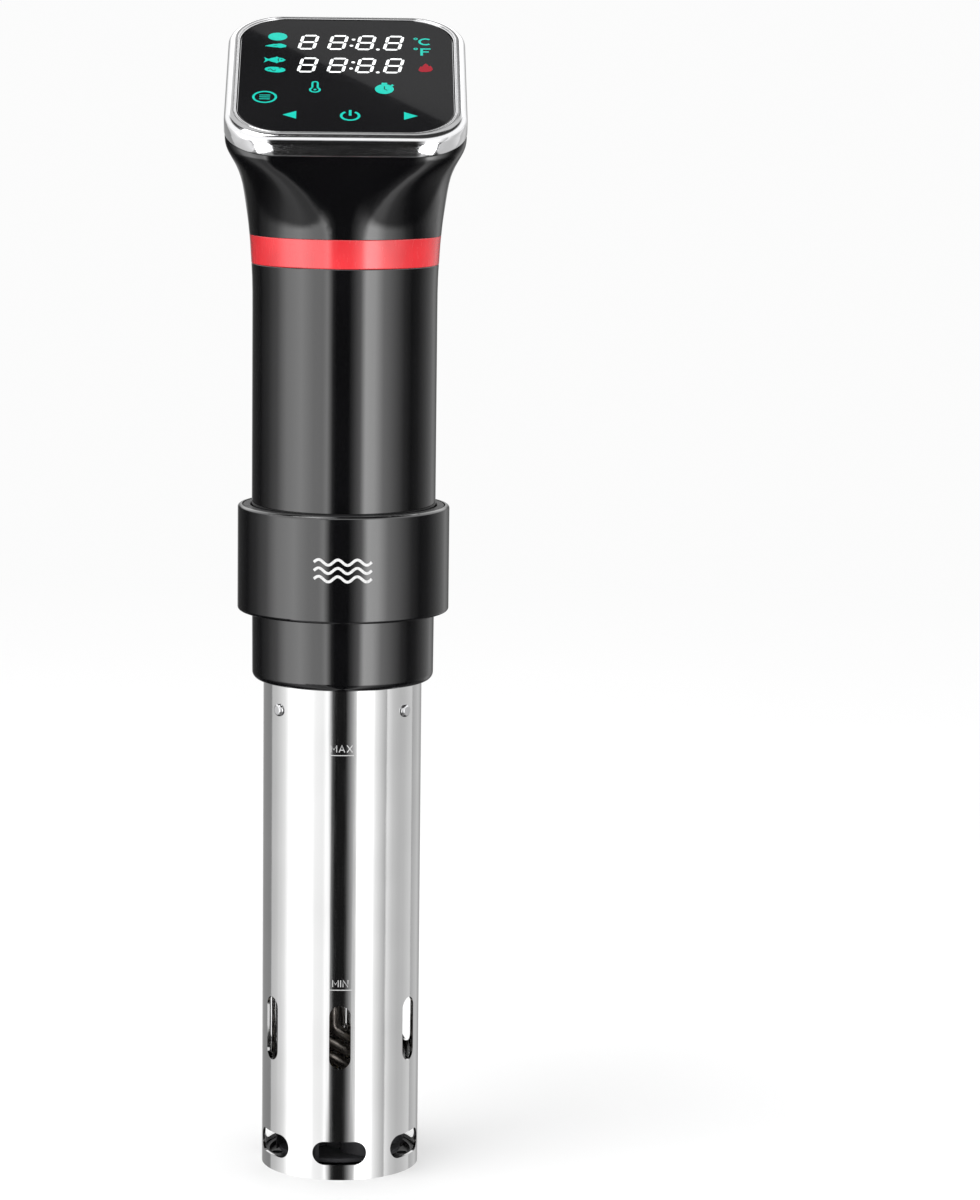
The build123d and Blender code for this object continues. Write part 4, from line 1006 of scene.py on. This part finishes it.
# brightness of the studio round the horizon: (degrees from the camera towards the right, light)
STUDIO_RING = (
    (-180, 0.5),
    (-160, 0.06),
    (-128, 0.02),
    (-110, 0.12),
    (-92, 0.42),
    (-76, 1.25),
    (-55, 1.7),
    (-38, 1.2),
    (-27, 1.15),
    (-21, 1.5),
    (-17.5, 0.8),
    (-14, 0.12),
    (-10, 0.01),
    (6, 0.01),
    (11, 0.2),
    (20, 0.7),
    (27, 2.7),
    (38, 2.4),
    (50, 1.1),
    (68, 0.5),
    (80, 0.15),
    (92, 0.03),
    (104, 0.06),
    (126, 0.25),
    (146, 0.4),
    (165, 0.1),
    (180, 0.5),
)


def make_studio():
    """A soft studio all round: bright walls, a narrow dark flag in front, a dim ceiling."""
    world = bpy.data.worlds.new("studio")
    world.use_nodes = True
    scene.world = world
    tree = world.node_tree
    coordinates = tree.nodes.new("ShaderNodeTexCoord")
    split = tree.nodes.new("ShaderNodeSeparateXYZ")
    tree.links.new(coordinates.outputs["Generated"], split.inputs[0])
    x, y, z = split.outputs
    around = maths(tree, "ARCTAN2", x, maths(tree, "MULTIPLY", y, -1.0))
    share = maths(tree, "ADD", maths(tree, "DIVIDE", around, 2 * pi), 0.5)
    ring = tree.nodes.new("ShaderNodeValToRGB")
    stops = [((a + 180) / 360, (light / BRIGHTEST,) * 3) for a, light in STUDIO_RING]
    fill_ramp(ring.color_ramp, stops)
    tree.links.new(share, ring.inputs["Fac"])
    wall = maths(tree, "MULTIPLY", ring.outputs["Color"], BRIGHTEST)
    dim = smooth_step(tree, z, *LOWER_WALL_HEIGHTS, LOWER_WALL_SHARE, 1.0)
    wall = maths(tree, "MULTIPLY", wall, dim)
    upper = smooth_step(tree, z, *UPPER_WALL_HEIGHTS, 0.0, 1.0)
    light = choose(tree, upper, UPPER_WALL_LIGHT, wall)
    ceiling = smooth_step(tree, z, *CEILING_HEIGHTS, 0.0, 1.0)
    light = choose(tree, ceiling, CEILING_LIGHT, light)
    path = tree.nodes.new("ShaderNodeLightPath")
    light = choose(tree, path.outputs["Is Diffuse Ray"], SOFT_LIGHT, light)
    light = choose(tree, path.outputs["Is Camera Ray"], BACKDROP_LIGHT, light)
    background = tree.nodes["Background"]
    background.inputs["Color"].default_value = (1, 1, 1, 1)
    tree.links.new(light, background.inputs["Strength"])


def aim(made, target):
    """Turns a camera or light to look at a point."""
    made.rotation_euler = (Vector(target) - made.location).to_track_quat("-Z", "Y").to_euler()


def make_light(name, place, target, size, power):
    """A soft square light, itself out of the picture."""
    data = bpy.data.lights.new(name, "AREA")
    data.size = size
    data.energy = power
    made = bpy.data.objects.new(name, data)
    made.location = place
    made.visible_camera = False
    scene.collection.objects.link(made)
    aim(made, target)
    return made


OVERHEAD_PLACE, OVERHEAD_TARGET = (-0.7, -0.5, 1.9), (0, 0, 0.1)
OVERHEAD_SIZE, OVERHEAD_POWER = 0.9, 9.0

# the sleeve's lights as (name, degrees from the front towards the right, power)
STEEL_LIGHTS = (
    ("left", -95, 1.0),
    ("right", 95, 1.0),
    ("back_left", -150, 0.45),
    ("back_right", 150, 0.45),
)
STEEL_LIGHT_DISTANCE, STEEL_LIGHT_Z = 0.6, 0.05
STEEL_LIGHT_WIDTH, STEEL_LIGHT_HEIGHT = 0.62, 0.9


def light_only(made, group, receivers):
    """Lets a light reach only some objects."""
    chosen = bpy.data.collections.new(group)
    for receiver in receivers:
        chosen.objects.link(receiver)
    made.light_linking.receiver_collection = chosen


def make_steel_lights():
    """Tall soft lights, two on each side, that fill in the bright metal only."""
    metal = [nodes[name] for name in FINISHES[STEEL] + FINISHES[SCREW]] + [bezel]
    for place_name, turn, power in STEEL_LIGHTS:
        angle = radians(turn)
        place = (
            STEEL_LIGHT_DISTANCE * sin(angle),
            -STEEL_LIGHT_DISTANCE * cos(angle),
            STEEL_LIGHT_Z,
        )
        name = f"steel_light_{place_name}"
        made = make_light(name, place, (0, 0, STEEL_LIGHT_Z), STEEL_LIGHT_WIDTH, power)
        made.data.shape = "RECTANGLE"
        made.data.size_y = STEEL_LIGHT_HEIGHT
        light_only(made, f"{name}_receivers", metal)


CORNER_LIGHT_SIDE, CORNER_LIGHT_FRONT, CORNER_LIGHT_Z = 0.3, -0.34, -0.1
CORNER_LIGHT_TARGET = (0, 0, 0.34)
CORNER_LIGHT_SIZE, CORNER_LIGHT_POWER = 0.34, 1.2
TOP_LIGHT_DISTANCE, TOP_LIGHT_SIZE, TOP_LIGHT_POWER = 1.3, 1.4, 3.4


def glass_bounce():
    """The direction that the glass mirrors towards the camera."""
    view = (CAMERA_PLACE - GLASS_CENTRE).normalized()
    return 2 * PANEL_NORMAL.dot(view) * PANEL_NORMAL - view


def make_bezel_lights():
    """Two low lights for the frame's front corners and a wide one for its upper face."""
    for side, name in ((-1, "bezel_light_left"), (1, "bezel_light_right")):
        place = (CORNER_LIGHT_SIDE * side, CORNER_LIGHT_FRONT, CORNER_LIGHT_Z)
        made = make_light(name, place, CORNER_LIGHT_TARGET, CORNER_LIGHT_SIZE, CORNER_LIGHT_POWER)
        light_only(made, f"{name}_receivers", [bezel])
    place = GLASS_CENTRE + glass_bounce() * TOP_LIGHT_DISTANCE
    made = make_light("bezel_light_top", place, GLASS_CENTRE, TOP_LIGHT_SIZE, TOP_LIGHT_POWER)
    light_only(made, "bezel_light_top_receivers", [bezel])


SHEEN_DISTANCE, SHEEN_SLOPE = 1.2, radians(-25)
SHEEN_REACH, SHEEN_LIGHT = 0.3, 0.19


def make_sheen_card():
    """A dim card whose slanted edge crosses the glass's reflection."""
    bounce = glass_bounce()
    centre = GLASS_CENTRE + bounce * SHEEN_DISTANCE
    up = bounce.cross(RIGHT).normalized()
    along = RIGHT * cos(SHEEN_SLOPE) + up * sin(SHEEN_SLOPE)
    beyond = along.cross(bounce).normalized()
    if beyond.dot(RIGHT) < 0:
        beyond = -beyond
    reach, depth = along * SHEEN_REACH, beyond * SHEEN_REACH
    corners = [centre - reach, centre + reach, centre + reach + depth, centre - reach + depth]
    made = Shader("sheen_card", (0, 0, 0))
    made.set("Emission Color", (1, 1, 1, 1))
    made.set("Emission Strength", SHEEN_LIGHT)
    card = piece("sheen_card", corners, [(0, 1, 2, 3)], made.material, None, smooth=False)
    card.visible_camera = False
    card.visible_diffuse = False
    card.visible_shadow = False


CAMERA_SENSOR_HEIGHT = 36
CAMERA_TARGET = Vector((46.4, 0, 182.1)) * MM
CAMERA_DISTANCE, CAMERA_LENS = 1.3, 123.4
CAMERA_SIDE, CAMERA_HEIGHT, CAMERA_ROLL = radians(-1.8), radians(8.45), radians(0.67)
CAMERA_PLACE = CAMERA_TARGET + CAMERA_DISTANCE * Vector(
    (
        sin(CAMERA_SIDE) * cos(CAMERA_HEIGHT),
        -cos(CAMERA_SIDE) * cos(CAMERA_HEIGHT),
        sin(CAMERA_HEIGHT),
    )
)


def make_camera():
    """The photograph's viewpoint: in front and slightly above, the object left of centre."""
    data = bpy.data.cameras.new("camera")
    data.sensor_fit = "VERTICAL"
    data.sensor_height = CAMERA_SENSOR_HEIGHT
    data.lens = CAMERA_LENS
    made = bpy.data.objects.new("camera", data)
    made.location = CAMERA_PLACE
    scene.collection.objects.link(made)
    aim(made, CAMERA_TARGET)
    made.rotation_euler.rotate_axis("Z", CAMERA_ROLL)
    scene.camera = made


make_floor()
make_studio()
make_light("overhead", OVERHEAD_PLACE, OVERHEAD_TARGET, OVERHEAD_SIZE, OVERHEAD_POWER)
make_steel_lights()
make_bezel_lights()
make_sheen_card()
make_camera()
scene.view_settings.view_transform = "Standard"
